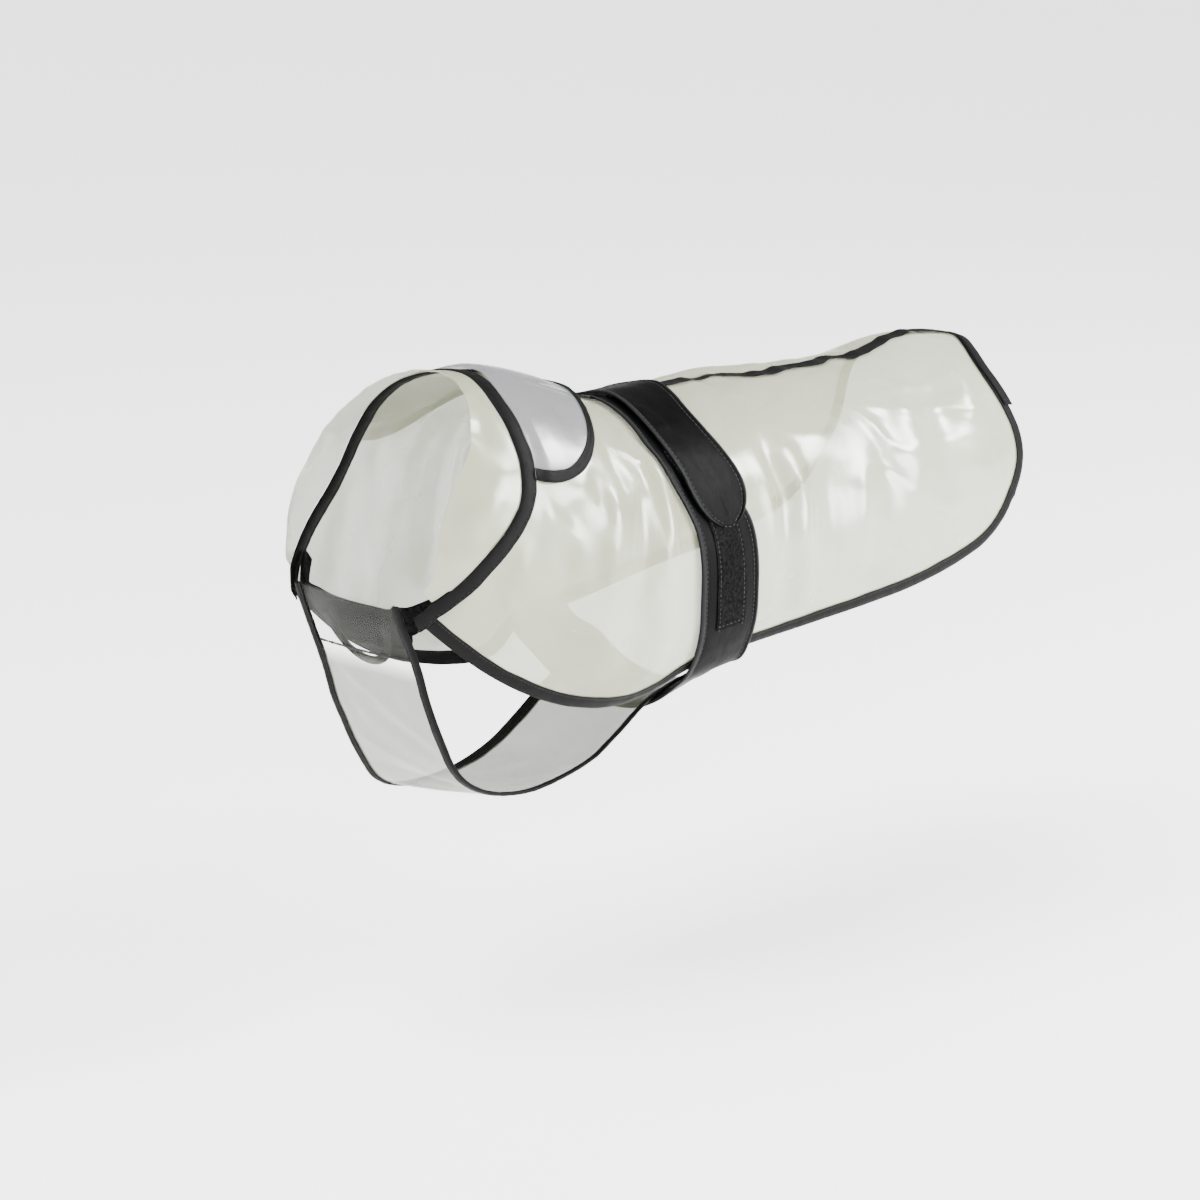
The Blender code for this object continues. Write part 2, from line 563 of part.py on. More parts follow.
def make_chest_panel():
    length = rows_of(CHEST)[-1, 0]
    down = np.linspace(0, length, CHEST_STEPS + 1)[:, None]
    edge = read_table(CHEST, down)[..., 0]
    seam = edge - CHEST_BINDING_WIDTH
    across = np.concatenate([-edge, -seam, -seam / 2, 0 * seam, seam / 2, seam, edge], axis=1)
    down = down + 0 * across
    wall("chest_panel", chest_point(down, across, 0.0), chest_point(down, across, FILM), FILM_LOOK)
    for name, stitched, cut in (("chest_binding_left", -2, -1), ("chest_binding_right", 1, 0)):
        sections = folded_binding(
            lambda lift, k=stitched: chest_point(down[:, k], across[:, k], lift),
            lambda lift, k=cut: chest_point(down[:, k], across[:, k], lift),
        )
        strip(name, sections, TAPE_LOOK)
    half_width = across[0, -2] - THROAT_HEM_INSET
    hem_down, hem_across = np.meshgrid(
        np.linspace(0, THROAT_HEM, 4), np.linspace(-half_width, half_width, 5), indexing="ij"
    )
    inside, outside = (chest_point(hem_down, hem_across, lift) for lift in (-GAP - FILM, -GAP))
    wall("throat_hem", inside, outside, FILM_LOOK)


def make_chest_tab():
    across, along = half_disc(
        TAB["half_width"], TAB["length"], TAB["border"], TAB["border"], TAB_SPOKES, 1
    )
    across, down = TAB["middle"] + across, TAB["down"] + along
    behind = TAB["behind"]
    inside, outside = (chest_point(down, across, lift) for lift in (-behind - FILM, -behind))
    wall("chest_tab", inside, outside, FILM_LOOK)
    sections = folded_binding(
        lambda lift: chest_point(down[:, -2], across[:, -2], lift - behind - FILM),
        lambda lift: chest_point(down[:, -1], across[:, -1], lift - behind - FILM),
    )
    strip("chest_tab_binding", sections, TAPE_LOOK)


def make_neck_straps():
    across_strap = np.linspace(-1, 1, 5)
    for end, strap in STRAPS.items():
        side, behind = strap["side"], strap["behind"]
        sections = []
        for across, middle, half_height in rows_of(STRAP_IN_PANEL):
            down = middle + across_strap * half_height
            face = chest_point(down, side * across, -behind)
            back = chest_point(down, side * across, -behind - STRAP_THICKNESS)
            sections.append(np.concatenate([face, back[::-1]]))
        for station, turn, half_height in rows_of(STRAP_ON_COAT):
            reach = half_height * degrees_per_mm(station, turn)
            places = side * (turn + across_strap * reach)
            face = cloth_point(station, places, STRAP_ON_COAT_LIFT)
            back = cloth_point(station, places, STRAP_ON_COAT_LIFT - STRAP_THICKNESS)
            sections.append(np.concatenate([face, back[::-1]]))
        strip("neck_strap_" + end, sections, FASTENER_LOOK)


def belt_section(turn, half_width, low, high):
    """One section across the belt, between two heights above its own underside."""
    station, lift, tilt = read_table(BELT_LINE, turn)
    across = half_width * np.linspace(-1, 1, 5)
    lift = lift - tilt * across / BELT_WIDTH
    under = cloth_point(station + across, turn, lift + low)
    over = cloth_point(station + across, turn, lift + high)
    return np.concatenate([under, over[::-1]])


def pad_section(turn, low, high):
    """A narrower section on the belt's own facets."""
    sides = []
    for height, order in ((low, 1), (high, -1)):
        before, middle, after = belt_section(turn, BELT_WIDTH / 2, height, height)[1:4]
        share = PAD_HALF_WIDTH / (BELT_WIDTH / 4)
        points = [middle + (before - middle) * share, middle, middle + (after - middle) * share]
        sides += points[::order]
    return sides


def make_belt():
    first, last = rows_of(BELT_LINE)[0, 0], rows_of(BELT_LINE)[-1, 0]
    places = list(np.arange(first, last - BELT_TIP_TURN, BELT_STEP))
    places += [last - BELT_TIP_TURN * share for share in BELT_TIP_SHARES]
    sections = []
    for turn in places:
        past = max(0.0, (turn - (last - BELT_TIP_TURN)) / BELT_TIP_TURN)
        half_width = BELT_WIDTH / 2 * math.sqrt(1 - past**2)
        sections.append(belt_section(turn, half_width, 0.0, BELT_THICKNESS))
    strip("belt", sections, WEBBING_LOOK)
    low = BELT_THICKNESS + GAP
    turns = np.arange(PAD_TURNS[0], PAD_TURNS[1] + 1, BELT_STEP)
    pad = [pad_section(turn, low, low + PAD_THICKNESS) for turn in turns]
    strip("belt_loop_pad", pad, FASTENER_LOOK)


def clear_scene():
    for item in list(bpy.data.objects):
        bpy.data.objects.remove(item)


def main():
    clear_scene()
    grids = {side: coat_grid(side) for side in (1, -1)}
    make_coat(grids)
    make_neck_binding(grids)
    make_hem_binding(grids)
    make_spine_tape(grids)
    make_rear_tape_end(grids)
    make_collar(grids)
    make_neck_flap()
    make_chest_panel()
    make_chest_tab()
    make_neck_straps()
    make_belt()


main()
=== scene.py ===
import math

import bpy
import numpy as np
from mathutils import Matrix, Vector


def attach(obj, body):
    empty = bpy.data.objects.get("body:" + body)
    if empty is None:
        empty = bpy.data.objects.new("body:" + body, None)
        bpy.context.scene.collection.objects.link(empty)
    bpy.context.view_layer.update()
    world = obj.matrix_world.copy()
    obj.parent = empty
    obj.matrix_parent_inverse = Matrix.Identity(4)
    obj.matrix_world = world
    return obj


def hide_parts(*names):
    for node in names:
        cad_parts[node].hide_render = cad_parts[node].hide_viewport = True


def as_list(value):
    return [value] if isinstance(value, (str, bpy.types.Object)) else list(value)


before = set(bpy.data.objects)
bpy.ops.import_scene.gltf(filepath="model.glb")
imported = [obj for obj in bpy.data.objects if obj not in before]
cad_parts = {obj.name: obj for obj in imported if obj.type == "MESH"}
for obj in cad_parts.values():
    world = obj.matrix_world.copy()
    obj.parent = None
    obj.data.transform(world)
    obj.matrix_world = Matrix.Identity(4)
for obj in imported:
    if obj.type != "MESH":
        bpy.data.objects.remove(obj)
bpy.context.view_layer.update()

print("frame loaded:", len(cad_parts), "nodes")

# Lengths are millimetres until a mesh is made. +Z is up, the neck end is at -Y, the coat's left side at +X.
# A place on the coat is a station (mm along it) and a turn (degrees round it: 0 on the spine, 180 below,
# positive on the left). A lift moves it out along the normal of the form that the coat keeps.
mm = 0.001
wallFilm = 1.0  # the room that the solids give the film
wallTape = 1.0  # and one layer of tape
gap = 0.3  # between two pieces
overFilm = wallFilm + gap
overTape = overFilm + wallTape + gap

# station, y, z, lean, half width, up, down, power up, power down
bodyRows = [
    (-240, -206, 3, 50, 54, 58, 70, 2.0, 2.3), (-185, -181, -22, 42, 71, 76, 96, 2.0, 2.5),
    (-100, -102, -66, 16, 85, 87, 122, 2.1, 2.6), (-30, -30, -90, 2, 88, 91, 97, 2.1, 2.2),
    (30, 30, -92, 0, 88, 92, 93, 2.1, 2.1), (140, 140, -97, 0, 88, 91, 96, 2.1, 2.3),
    (210, 210, -98, 0, 86, 90, 98, 2.1, 2.3), (270, 270, -94, 0, 82, 91, 96, 2.1, 2.3),
    (340, 340, -100, 0, 70, 84, 90, 2.0, 2.2),
]
# share of the way round, station
neckLine = [(0, -193), (0.25, -196), (0.37, -186), (0.51, -171), (0.67, -162), (0.82, -168), (1, -174)]
rearLine = [
    (0, 303), (0.06, 300), (0.21, 286), (0.35, 276), (0.48, 275), (0.62, 279), (0.78, 284), (1, 285),
]
# station, turn
hemLine = [
    (-174, 131), (-150, 129), (-90, 127), (-73, 129), (-56, 131), (-44, 130), (-30, 124), (-18, 121.5),
    (34, 119), (63, 116), (95, 112), (130, 108.5), (165, 106), (200, 103), (250, 99), (300, 97),
]
seamLine = [
    (-200, 0), (-60, 0.6), (20, 0), (45, -1.6), (80, -2.6), (104, 3.2), (128, 3.4), (146, 1.0),
    (170, 2.6), (186, -1.6), (204, 2.4), (226, 0.6), (252, -1.6), (300, 0),
]
# station, from turn, to turn, half width, height, slant: the large folds that the solids have too
foldRows = [
    (-58, 38, 128, 9, 3.2, 0.05), (-76, 58, 124, 8, -2.4, 0.12), (-98, 62, 126, 12, 2.2, 0.20),
    (-128, 70, 128, 10, -1.8, 0.25), (-150, 86, 128, 8, 1.4, 0.20),
    (46, 48, 112, 8, -2.2, -0.10), (64, 40, 116, 10, 2.4, -0.10), (92, 52, 104, 11, -2.2, -0.22),
    (118, 60, 106, 10, 1.8, -0.25), (150, 44, 92, 12, -1.6, -0.30), (182, 30, 84, 12, 2.2, -0.35),
    (222, 22, 70, 12, -1.8, -0.40), (252, 18, 62, 9, 1.6, -0.30),
    (-56, -126, -44, 9, 2.8, -0.06), (-80, -124, -60, 9, -2.4, -0.10), (-112, -128, -66, 13, 2.2, -0.22),
    (-146, -128, -84, 9, -1.6, -0.20),
    (50, -116, -42, 9, 2.4, 0.12), (74, -106, -50, 10, -2.2, 0.20), (108, -110, -40, 12, 2.0, 0.25),
    (142, -96, -50, 11, -1.8, 0.30), (190, -88, -26, 13, 2.2, 0.35), (240, -70, -20, 11, -1.8, 0.35),
]
foldEnd = 14.0  # degrees over which a fold dies out
underBelt = dict(half=26.0, fade=24.0)  # folds are pressed flat here
seamPucker = dict(height=0.6, lengths=(27.0, 43.0, 19.0), turn=9.0, starts=30.0, ends=290.0, fade=30.0)
# station, half length, height: where the far half's film stands up beside the spine tape
farPuffs = [(66, 34, 2.6), (96, 30, 3.4), (134, 22, 2.0), (166, 14, 1.4), (196, 16, 0.8)]
farPuffTurn = dict(middle=-11.0, half=7.0)


def readTable(rows, place):
    # the rows' other columns at each place in their first one, on a smooth curve
    rows = np.array(rows, float)
    keys, values = rows[:, 0], rows[:, 1:]
    slopes = np.diff(values, axis=0) / np.diff(keys)[:, None]
    tangents = np.vstack([slopes[:1], (slopes[1:] + slopes[:-1]) / 2, slopes[-1:]])
    place = np.asarray(place, float)
    row = np.clip(np.searchsorted(keys, place) - 1, 0, len(keys) - 2)
    step = (keys[row + 1] - keys[row])[..., None]
    t = (place - keys[row])[..., None] / step
    start = (2 * t**3 - 3 * t**2 + 1) * values[row] + (t**3 - 2 * t**2 + t) * step * tangents[row]
    end = (3 * t**2 - 2 * t**3) * values[row + 1] + (t**3 - t**2) * step * tangents[row + 1]
    return start + end


def smoothStep(value):
    value = np.clip(value, 0.0, 1.0)
    return value * value * (3 - 2 * value)


def unit(vectors):
    return vectors / np.maximum(np.linalg.norm(vectors, axis=-1, keepdims=True), 1e-9)


def bodyPoint(station, turn):
    station, turn = np.broadcast_arrays(np.asarray(station, float), np.asarray(turn, float))
    y, z, lean, halfWidth, up, down, powerUp, powerDown = np.moveaxis(readTable(bodyRows, station), -1, 0)
    across, along = np.sin(np.radians(turn)), np.cos(np.radians(turn))
    power = np.where(along >= 0, powerUp, powerDown)
    reach = np.where(along >= 0, up, down) * np.sign(along) * np.abs(along) ** (2 / power)
    x = halfWidth * np.sign(across) * np.abs(across) ** (2 / power)
    return np.stack([x, y + reach * np.sin(np.radians(lean)), z + reach * np.cos(np.radians(lean))], -1)


def bodyNormal(station, turn):
    along = bodyPoint(np.asarray(station) + 1.0, turn) - bodyPoint(np.asarray(station) - 1.0, turn)
    around = bodyPoint(station, np.asarray(turn) + 1.5) - bodyPoint(station, np.asarray(turn) - 1.5)
    return unit(np.cross(around, along))


def degreesPerMm(station, turn):
    around = bodyPoint(station, np.asarray(turn) + 1.0) - bodyPoint(station, np.asarray(turn) - 1.0)
    return 2.0 / np.linalg.norm(around, axis=-1)


def stationsPerMm(station, turn):
    along = bodyPoint(np.asarray(station) + 1.0, turn) - bodyPoint(np.asarray(station) - 1.0, turn)
    return 2.0 / np.linalg.norm(along, axis=-1)


def foldHeight(station, turn):
    height = np.zeros(np.broadcast(station, turn).shape)
    for middle, fromTurn, toTurn, halfWidth, peak, slant in foldRows:
        run = smoothStep((turn - fromTurn) / foldEnd) * smoothStep((toTurn - turn) / foldEnd)
        offset = station - middle - slant * (turn - (fromTurn + toTurn) / 2)
        height = height + peak * run * np.exp(-((offset / halfWidth) ** 2))
    waves = sum(np.cos(2 * np.pi * station / length) for length in seamPucker["lengths"]) / 2
    waves = waves * np.exp(-((turn / seamPucker["turn"]) ** 2))
    fromStart = smoothStep((station - seamPucker["starts"]) / seamPucker["fade"])
    toEnd = smoothStep((seamPucker["ends"] - station) / seamPucker["fade"])
    height = height + seamPucker["height"] * waves * fromStart * toEnd
    return height * smoothStep((np.abs(station) - underBelt["half"]) / underBelt["fade"])


def clothPoint(station, turn, lift):
    station, turn = np.asarray(station, float), np.asarray(turn, float)
    out = np.asarray(lift, float) + foldHeight(station, turn)
    return bodyPoint(station, turn) + bodyNormal(station, turn) * out[..., None]


# The finest creases of the film, given one by one. Each runs through a place at an angle (0 along the body,
# 90 down its side) over a half length and a half width in mm, bends by mm at its ends, and has a height.
creaseRows = [
    # station, turn, angle, half length, half width, bend, height: ahead of the belt, near side
    (-57, 60, 84, 46, 4.0, 6, 1.5), (-66, 66, 78, 38, 3.2, -5, -1.1), (-70, 50, 32, 24, 2.6, 6, 1.2),
    (-84, 74, 100, 34, 5.0, 6, 1.0), (-103, 86, 82, 36, 4.0, -6, 1.2), (-112, 72, 60, 26, 3.4, 4, -1.0),
    (-122, 92, 38, 30, 3.2, 5, 1.1), (-140, 103, 14, 34, 3.6, -4, 0.9), (-92, 108, 20, 30, 3.6, 4, 0.9),
    (-76, 112, 52, 20, 3.0, 3, -0.9), (-128, 66, 110, 24, 4.0, 4, 0.8), (-152, 84, 46, 22, 3.0, 3, 0.9),
    (-98, 56, 68, 22, 3.4, -4, -0.8), (-148, 112, 28, 22, 3.0, -3, 0.7), (-64, 100, 62, 22, 2.6, -3, 1.0),
    # behind the belt, near side
    (42, 76, 88, 42, 4.2, 5, 1.2), (52, 60, 78, 26, 3.0, -4, -1.0), (64, 86, 90, 40, 4.6, -5, 1.1),
    (80, 70, 96, 30, 3.6, 4, -0.9), (101, 82, 92, 36, 4.4, 5, 1.1), (122, 74, 108, 28, 4.0, -5, 0.8),
    (152, 47, 70, 30, 3.0, 7, 1.3), (162, 56, 52, 22, 2.6, -4, 1.1), (172, 40, 20, 34, 2.6, 4, 1.1),
    (206, 46, 8, 38, 2.8, -4, 1.0), (214, 33, 6, 34, 2.4, 3, 0.9), (205, 60, 4, 40, 3.2, 4, 0.9),
    (186, 82, 24, 36, 3.6, -5, 0.8), (228, 74, 12, 30, 3.0, 4, 0.8), (240, 52, 24, 24, 2.4, -3, 0.9),
    (134, 96, 34, 26, 3.6, 4, -0.8), (90, 46, 12, 30, 3.4, -4, 0.8), (252, 38, 60, 16, 2.2, 2, 0.8),
    (150, 66, 28, 18, 2.4, 3, 0.9), (140, 34, 60, 18, 2.4, -3, 0.8), (196, 26, 34, 20, 2.4, 3, 0.8),
    # the far side, much the same but not mirrored
    (-60, -72, -82, 44, 4.0, -5, 1.4), (-72, -58, -60, 28, 3.0, 5, 1.0), (-90, -84, -98, 34, 4.6, -5, 1.0),
    (-108, -78, -70, 32, 3.8, 5, 1.0), (-126, -98, -32, 30, 3.2, -4, 1.0),
    (-140, -80, -56, 26, 3.4, 4, -0.8), (-80, -108, -24, 28, 3.4, -4, 0.9),
    (-152, -108, -20, 22, 3.0, 3, 0.8), (-116, -56, -104, 22, 3.6, -3, 0.8),
    (40, -70, -86, 40, 4.2, -5, 1.2), (58, -84, -94, 36, 4.4, 4, 1.0), (76, -60, -80, 30, 3.4, -4, -0.9),
    (98, -84, -90, 34, 4.4, 5, 1.0), (126, -66, -70, 30, 3.8, -5, 0.9), (150, -44, -62, 28, 3.0, 5, 1.2),
    (176, -56, -26, 32, 2.8, -4, 1.0), (204, -36, -10, 34, 2.6, 3, 1.0), (216, -58, -4, 36, 3.0, -4, 0.9),
    (190, -80, -22, 34, 3.6, 5, 0.8), (236, -74, -16, 26, 2.8, -3, 0.8), (246, -42, -40, 20, 2.4, 3, 0.8),
    (112, -34, -20, 26, 3.2, 3, 0.8), (72, -32, -12, 22, 3.0, -3, 0.7),
]
mmPerDegree = 1.54  # round the coat, near enough for laying out creases
creaseSpread = 1.65  # widens every crease of the film


def fromCrease(along, down, angle, halfLength):
    # how far a place lies along a crease, as a share of its half length, and how many mm beside it
    cosine, sine = math.cos(math.radians(angle)), math.sin(math.radians(angle))
    return (along * cosine + down * sine) / halfLength, down * cosine - along * sine


def creaseHeight(station, turn):
    height = np.zeros(np.broadcast(station, turn).shape)
    for middle, at, angle, halfLength, halfWidth, bend, peak in creaseRows:
        run, side = fromCrease(station - middle, (turn - at) * mmPerDegree, angle, halfLength)
        side = side - bend * run**2
        fade = smoothStep(1.3 - np.abs(run))
        height = height + peak * fade * np.exp(-((side / halfWidth / creaseSpread) ** 2))
    return height


def ripple(place, seed, *lengths):
    # a smooth uneven wave along a tape, from -1 to 1
    rng = np.random.default_rng(seed)
    total = sum(np.sin(2 * np.pi * place / length + rng.uniform(0, 6.28)) for length in lengths)
    return total / len(lengths)


print("surface ready")


def linked(name, data):
    made = bpy.data.objects.new(name, data)
    bpy.context.scene.collection.objects.link(made)
    return made


sharpAngle = 50.0


def newPiece(name, points, faces, material, uvs=None):
    mesh = bpy.data.meshes.new(name)
    points = np.asarray(points, float) * mm
    mesh.from_pydata(points.tolist(), [], faces)
    mesh.validate()
    mesh.update()
    if uvs is not None:
        layer = mesh.uv_layers.new(name="UVMap")
        loops = np.empty(len(mesh.loops), np.int32)
        mesh.loops.foreach_get("vertex_index", loops)
        layer.data.foreach_set("uv", (np.asarray(uvs, float)[loops] * mm).ravel())
    mesh.shade_smooth()
    mesh.set_sharp_from_angle(angle=math.radians(sharpAngle))
    mesh.materials.append(material)
    return linked(name, mesh)


def loft(name, sections, material):
    # a closed skin through sections of one point count, whose second half runs back under the first
    sections = np.asarray(sections, float)
    count, around = sections.shape[:2]
    index = np.arange(count * around).reshape(count, around)
    here, there = index[:-1], index[1:]
    quads = np.stack([here, np.roll(here, -1, axis=1), np.roll(there, -1, axis=1), there], -1).reshape(-1, 4)
    faces = quads.tolist()
    for cap, way in ((index[0], -1), (index[-1], 1)):
        for k in range(around // 2 - 1):
            corners = cap[[k, k + 1, around - 2 - k, around - 1 - k]]
            faces.append(corners[::way].tolist())
    flat = sections.reshape(-1, 3)
    corner = flat[quads]
    volume = np.einsum("ij,ij->", corner[:, 0], np.cross(corner[:, 1], corner[:, 2]))
    volume += np.einsum("ij,ij->", corner[:, 0], np.cross(corner[:, 2], corner[:, 3]))
    if volume < 0:
        faces = [face[::-1] for face in faces]
    lengths = np.linalg.norm(np.diff(sections, axis=0), axis=-1).mean(axis=1)
    run = np.concatenate([[0], np.cumsum(lengths)])
    widths = np.linalg.norm(np.diff(sections, axis=1), axis=-1).mean(axis=0)
    turnBack = np.concatenate([[0], np.cumsum(widths)])
    uvs = np.stack(np.broadcast_arrays(run[:, None], turnBack[None, :]), -1).reshape(-1, 2)
    return newPiece(name, flat, faces, material, uvs)


def bothFaces(low, high):
    # the sections of a sheet whose lower and upper face are (columns, rows, 3) grids
    return np.concatenate([high, low[:, ::-1]], axis=1)


print("mesh helpers ready")


coat = dict(columns=150, rows=76, bindingWidth=9.5, film=0.5, cornerRadius=52.0, cornerSpan=(470.0, 152.0),
            fadeSpan=(477.0, 285.0), fadeFrom=2.0, fade=12.0, besideSeam=5.0, seamFade=7.0, pressed=0.25)


def filmPiece(name, at, middle, material):
    # at gives the places for a lift, and middle is the lift of the film's middle
    low, high = (at(middle + lift) for lift in (-coat["film"] / 2, coat["film"] / 2))
    return loft(name, bothFaces(low, high), material)


def roundCorner(along, around):
    startAlong, startAround = (1 - coat["cornerRadius"] / span for span in coat["cornerSpan"])
    x = np.clip((along - startAlong) / (1 - startAlong), 0, 1)
    y = np.clip((around - startAround) / (1 - startAround), 0, 1)
    bentX, bentY = x * np.sqrt(1 - y**2 / 2), y * np.sqrt(1 - x**2 / 2)
    return along + (bentX - x) * (1 - startAlong), around + (bentY - y) * (1 - startAround)


def stitchedGrid(side):
    shares = np.linspace(0, 1, coat["columns"] + 1), np.linspace(0, 1, coat["rows"] + 1)
    along, around = np.meshgrid(*shares, indexing="ij")
    along, around = roundCorner(along, around)
    front, rear = readTable(neckLine, around)[..., 0], readTable(rearLine, around)[..., 0]
    station = front + along * (rear - front)
    hem, seam = readTable(hemLine, station)[..., 0], readTable(seamLine, station)[..., 0]
    start = seam + side * gap / 2 * degreesPerMm(station, seam)
    return station, start + around * (side * hem - start)


def outward(station, turn, before, after, distance):
    # moves places sideways, in real mm, from a line that runs from before to after
    degrees, stations = degreesPerMm(station, turn), stationsPerMm(station, turn)
    runAlong, runAround = (after[0] - before[0]) / stations, (after[1] - before[1]) / degrees
    share = distance / np.hypot(runAlong, runAround)
    return station + runAround * share * stations, turn - runAlong * share * degrees


def neighbours(count):
    return [0, *range(count - 1)], [*range(1, count), count - 1]


def coatGrid(side):
    # the stitched grid with a column of binding width added at each end and a row along the hem
    station, turn = stitchedGrid(side)
    columns, rows = station.shape
    wide = np.empty((2, columns + 2, rows + 1))
    wide[:, 1:-1, :-1] = station, turn
    width = side * coat["bindingWidth"]
    low, high = neighbours(rows)
    for column, sign in ((0, -1), (-1, 1)):
        line = np.stack([station[column], turn[column]])
        wide[:, column, :-1] = outward(*line, line[:, low], line[:, high], sign * width)
    low, high = neighbours(columns)
    line = np.stack([station[:, -1], turn[:, -1]])
    wide[:, 1:-1, -1] = outward(*line, line[:, low], line[:, high], -width)
    wide[1, 0, 0], wide[1, -1, 0] = turn[0, 0], turn[-1, 0]
    wide[:, 0, -1] = wide[:, 1, -1] + wide[:, 0, -2] - (station[0, -1], turn[0, -1])
    corner = (station[-2, -1], turn[-2, -1]), (station[-1, -2], turn[-1, -2])
    wide[:, -1, -2:] = np.array(outward(station[-1, -1], turn[-1, -1], *corner, -width))[:, None]
    wide[:, -2, -1] = wide[:, -1, -1]
    return wide


grids = {side: coatGrid(side) for side in (1, -1)}


def border(pick):
    # joins a border of the two halves into one run, from the right side to the left
    right, left = pick(grids[-1]), pick(grids[1])
    return np.concatenate([right[:, ::-1], left[:, 1:]], axis=1)


def alongRearAndHem(column, row):
    def pick(grid):
        return np.concatenate([grid[:, column, :-1], grid[:, 1:-1, row][:, ::-1]], axis=1)

    return pick


belt = dict(
    width=50.0, thickness=1.5, padRoom=1.0, starts=5.0, step=1.5, tipTurn=16.0, tipSteps=16, band=4.2,
    bandShare=0.83, tipRound=0.93, fillsFrom=350.0, freeFrom=376.0, pressed=0.25,
)
beltLapped = overTape + belt["thickness"] + belt["padRoom"] + 3 * gap
# turn, station, lift, tilt of the belt's middle line; it laps its own start past the full circle
beltLine = [
    (14, -26, overTape, 0), (30, -30, overTape, 0), (44, -31, overTape, 0), (56, -24, overTape, 0),
    (66, -16, overTape, 0), (75, -10, overTape, 0), (86, -7.5, overTape, 0), (98, -6, overTape, 0),
    (110, -2.5, overTape, 0), (121, 0, overTape, 0), (131, 1.5, overTape, 0), (141, 3.5, -1.9, 6),
    (152, 5, -1.6, 6.2), (165, 6.5, 0, 5.5), (180, 7, 0.2, 5), (195, 6.5, 0, 5.5), (208, 5, -1.6, 6.2),
    (219, 3.5, -1.9, 6), (229, 1.5, overTape, 0), (250, -2, overTape, 0), (300, -4, overTape, 0),
    (330, -3, overTape, 0), (350, -3, overTape, 0), (364, -6, beltLapped, 0), (375, -12, beltLapped, 0),
    (386, -18, beltLapped, 0), (397, -19, beltLapped, 0), (406, -16.5, beltLapped, 0),
    (415, -13, beltLapped, 0), (424, -11, beltLapped, 0), (434, -9, beltLapped, 0),
]


def besideBelt(station, turn):
    # 0 under the belt and 1 well clear of it
    clear = np.ones(np.broadcast(station, turn).shape)
    first, last = beltLine[0][0], beltLine[-1][0]
    for wrapped in (np.where(turn < first, turn + 360, turn), turn + 360):
        inside = (wrapped >= first) & (wrapped <= last)
        middle = readTable(beltLine, np.clip(wrapped, first, last))[..., 0]
        near = smoothStep((np.abs(station - middle) - belt["width"] / 2 + 3) / 9)
        clear = np.where(inside, np.minimum(clear, near), clear)
    return clear


print("coat laid out")


class Wire:
    # a shader socket that plain arithmetic works on
    def __init__(self, look, socket):
        self.look, self.socket = look, socket

    def maths(self, operation, *values):
        return self.look.node("Math", {"operation": operation}, dict(enumerate(values)))

    def __add__(self, other):
        return self.maths("ADD", self, other)

    def __sub__(self, other):
        return self.maths("SUBTRACT", self, other)

    def __rsub__(self, other):
        return self.maths("SUBTRACT", other, self)

    def __mul__(self, other):
        return self.maths("MULTIPLY", self, other)

    __radd__ = __add__
    __rmul__ = __mul__

    def sine(self):
        return self.maths("SINE", self)

    def absolute(self):
        return self.maths("ABSOLUTE", self)

    def folded(self, span):
        return self.maths("PINGPONG", self, span)

    def clamped(self):
        return self.look.node("Clamp", {}, {"Value": self, "Min": 0.0, "Max": 1.0})


class Look:
    # one material, its Principled shader and the two ways in which nodes are added to it
    def __init__(self, name, **fixed):
        self.material = bpy.data.materials.new(name)
        self.material.use_nodes = True
        self.tree = self.material.node_tree
        self.shader = self.tree.nodes["Principled BSDF"]
        for socket, value in fixed.items():
            self.shader.inputs[socket.replace("_", " ")].default_value = value

    def put(self, socket, value):
        if isinstance(value, Wire):
            self.tree.links.new(value.socket, socket)
        elif socket.type == "RGBA" and len(value) == 3:
            socket.default_value = (*value, 1.0)
        else:
            socket.default_value = value

    def node(self, kind, settings, values, output=0):
        made = self.tree.nodes.new("ShaderNode" + kind)
        for key, value in settings.items():
            setattr(made, key, value)
        for key, value in values.items():
            self.put(made.inputs[key], value)
        return Wire(self, made.outputs[output])

    def mix(self, share, first, second):
        # the colour sockets of a Mix node are its inputs 6 and 7
        settings = {"data_type": "RGBA", "clamp_factor": True}
        return self.node("Mix", settings, {0: share, 6: first, 7: second}, output=2)

    def place(self):
        return self.node("TexCoord", {}, {}, output="Object")

    def flat(self):
        # along and across the cloth, in metres
        spot = self.node("SeparateXYZ", {}, {0: self.node("UVMap", {"uv_map": "UVMap"}, {})})
        return spot, Wire(self, spot.socket.node.outputs[1])

    def noise(self, vector, scale, detail=2.0, kind="FBM", rough=0.5):
        values = {"Vector": vector, "Scale": scale, "Detail": detail, "Roughness": rough}
        return self.node("TexNoise", {"noise_type": kind, "normalize": True}, values)

    def stretch(self, vector, scale):
        return self.node("Mapping", {}, {"Vector": vector, "Scale": scale})

    def drive(self, socket, value):
        self.put(self.shader.inputs[socket], value)

    def bump(self, height):
        # the height is in mm
        self.drive("Normal", self.node("Bump", {}, {"Height": height, "Distance": mm, "Strength": 1.0}))


filmLook = dict(gloss=0.95, roughness=0.13, roughSpread=0.20, cloud=0.06, cloudScale=13.0, wave=4.5,
                crumpleScale=26.0, crumple=1.2, grainScale=1500.0, grain=0.03, smearScale=60.0,
                touches=-0.117, clears=0.012)


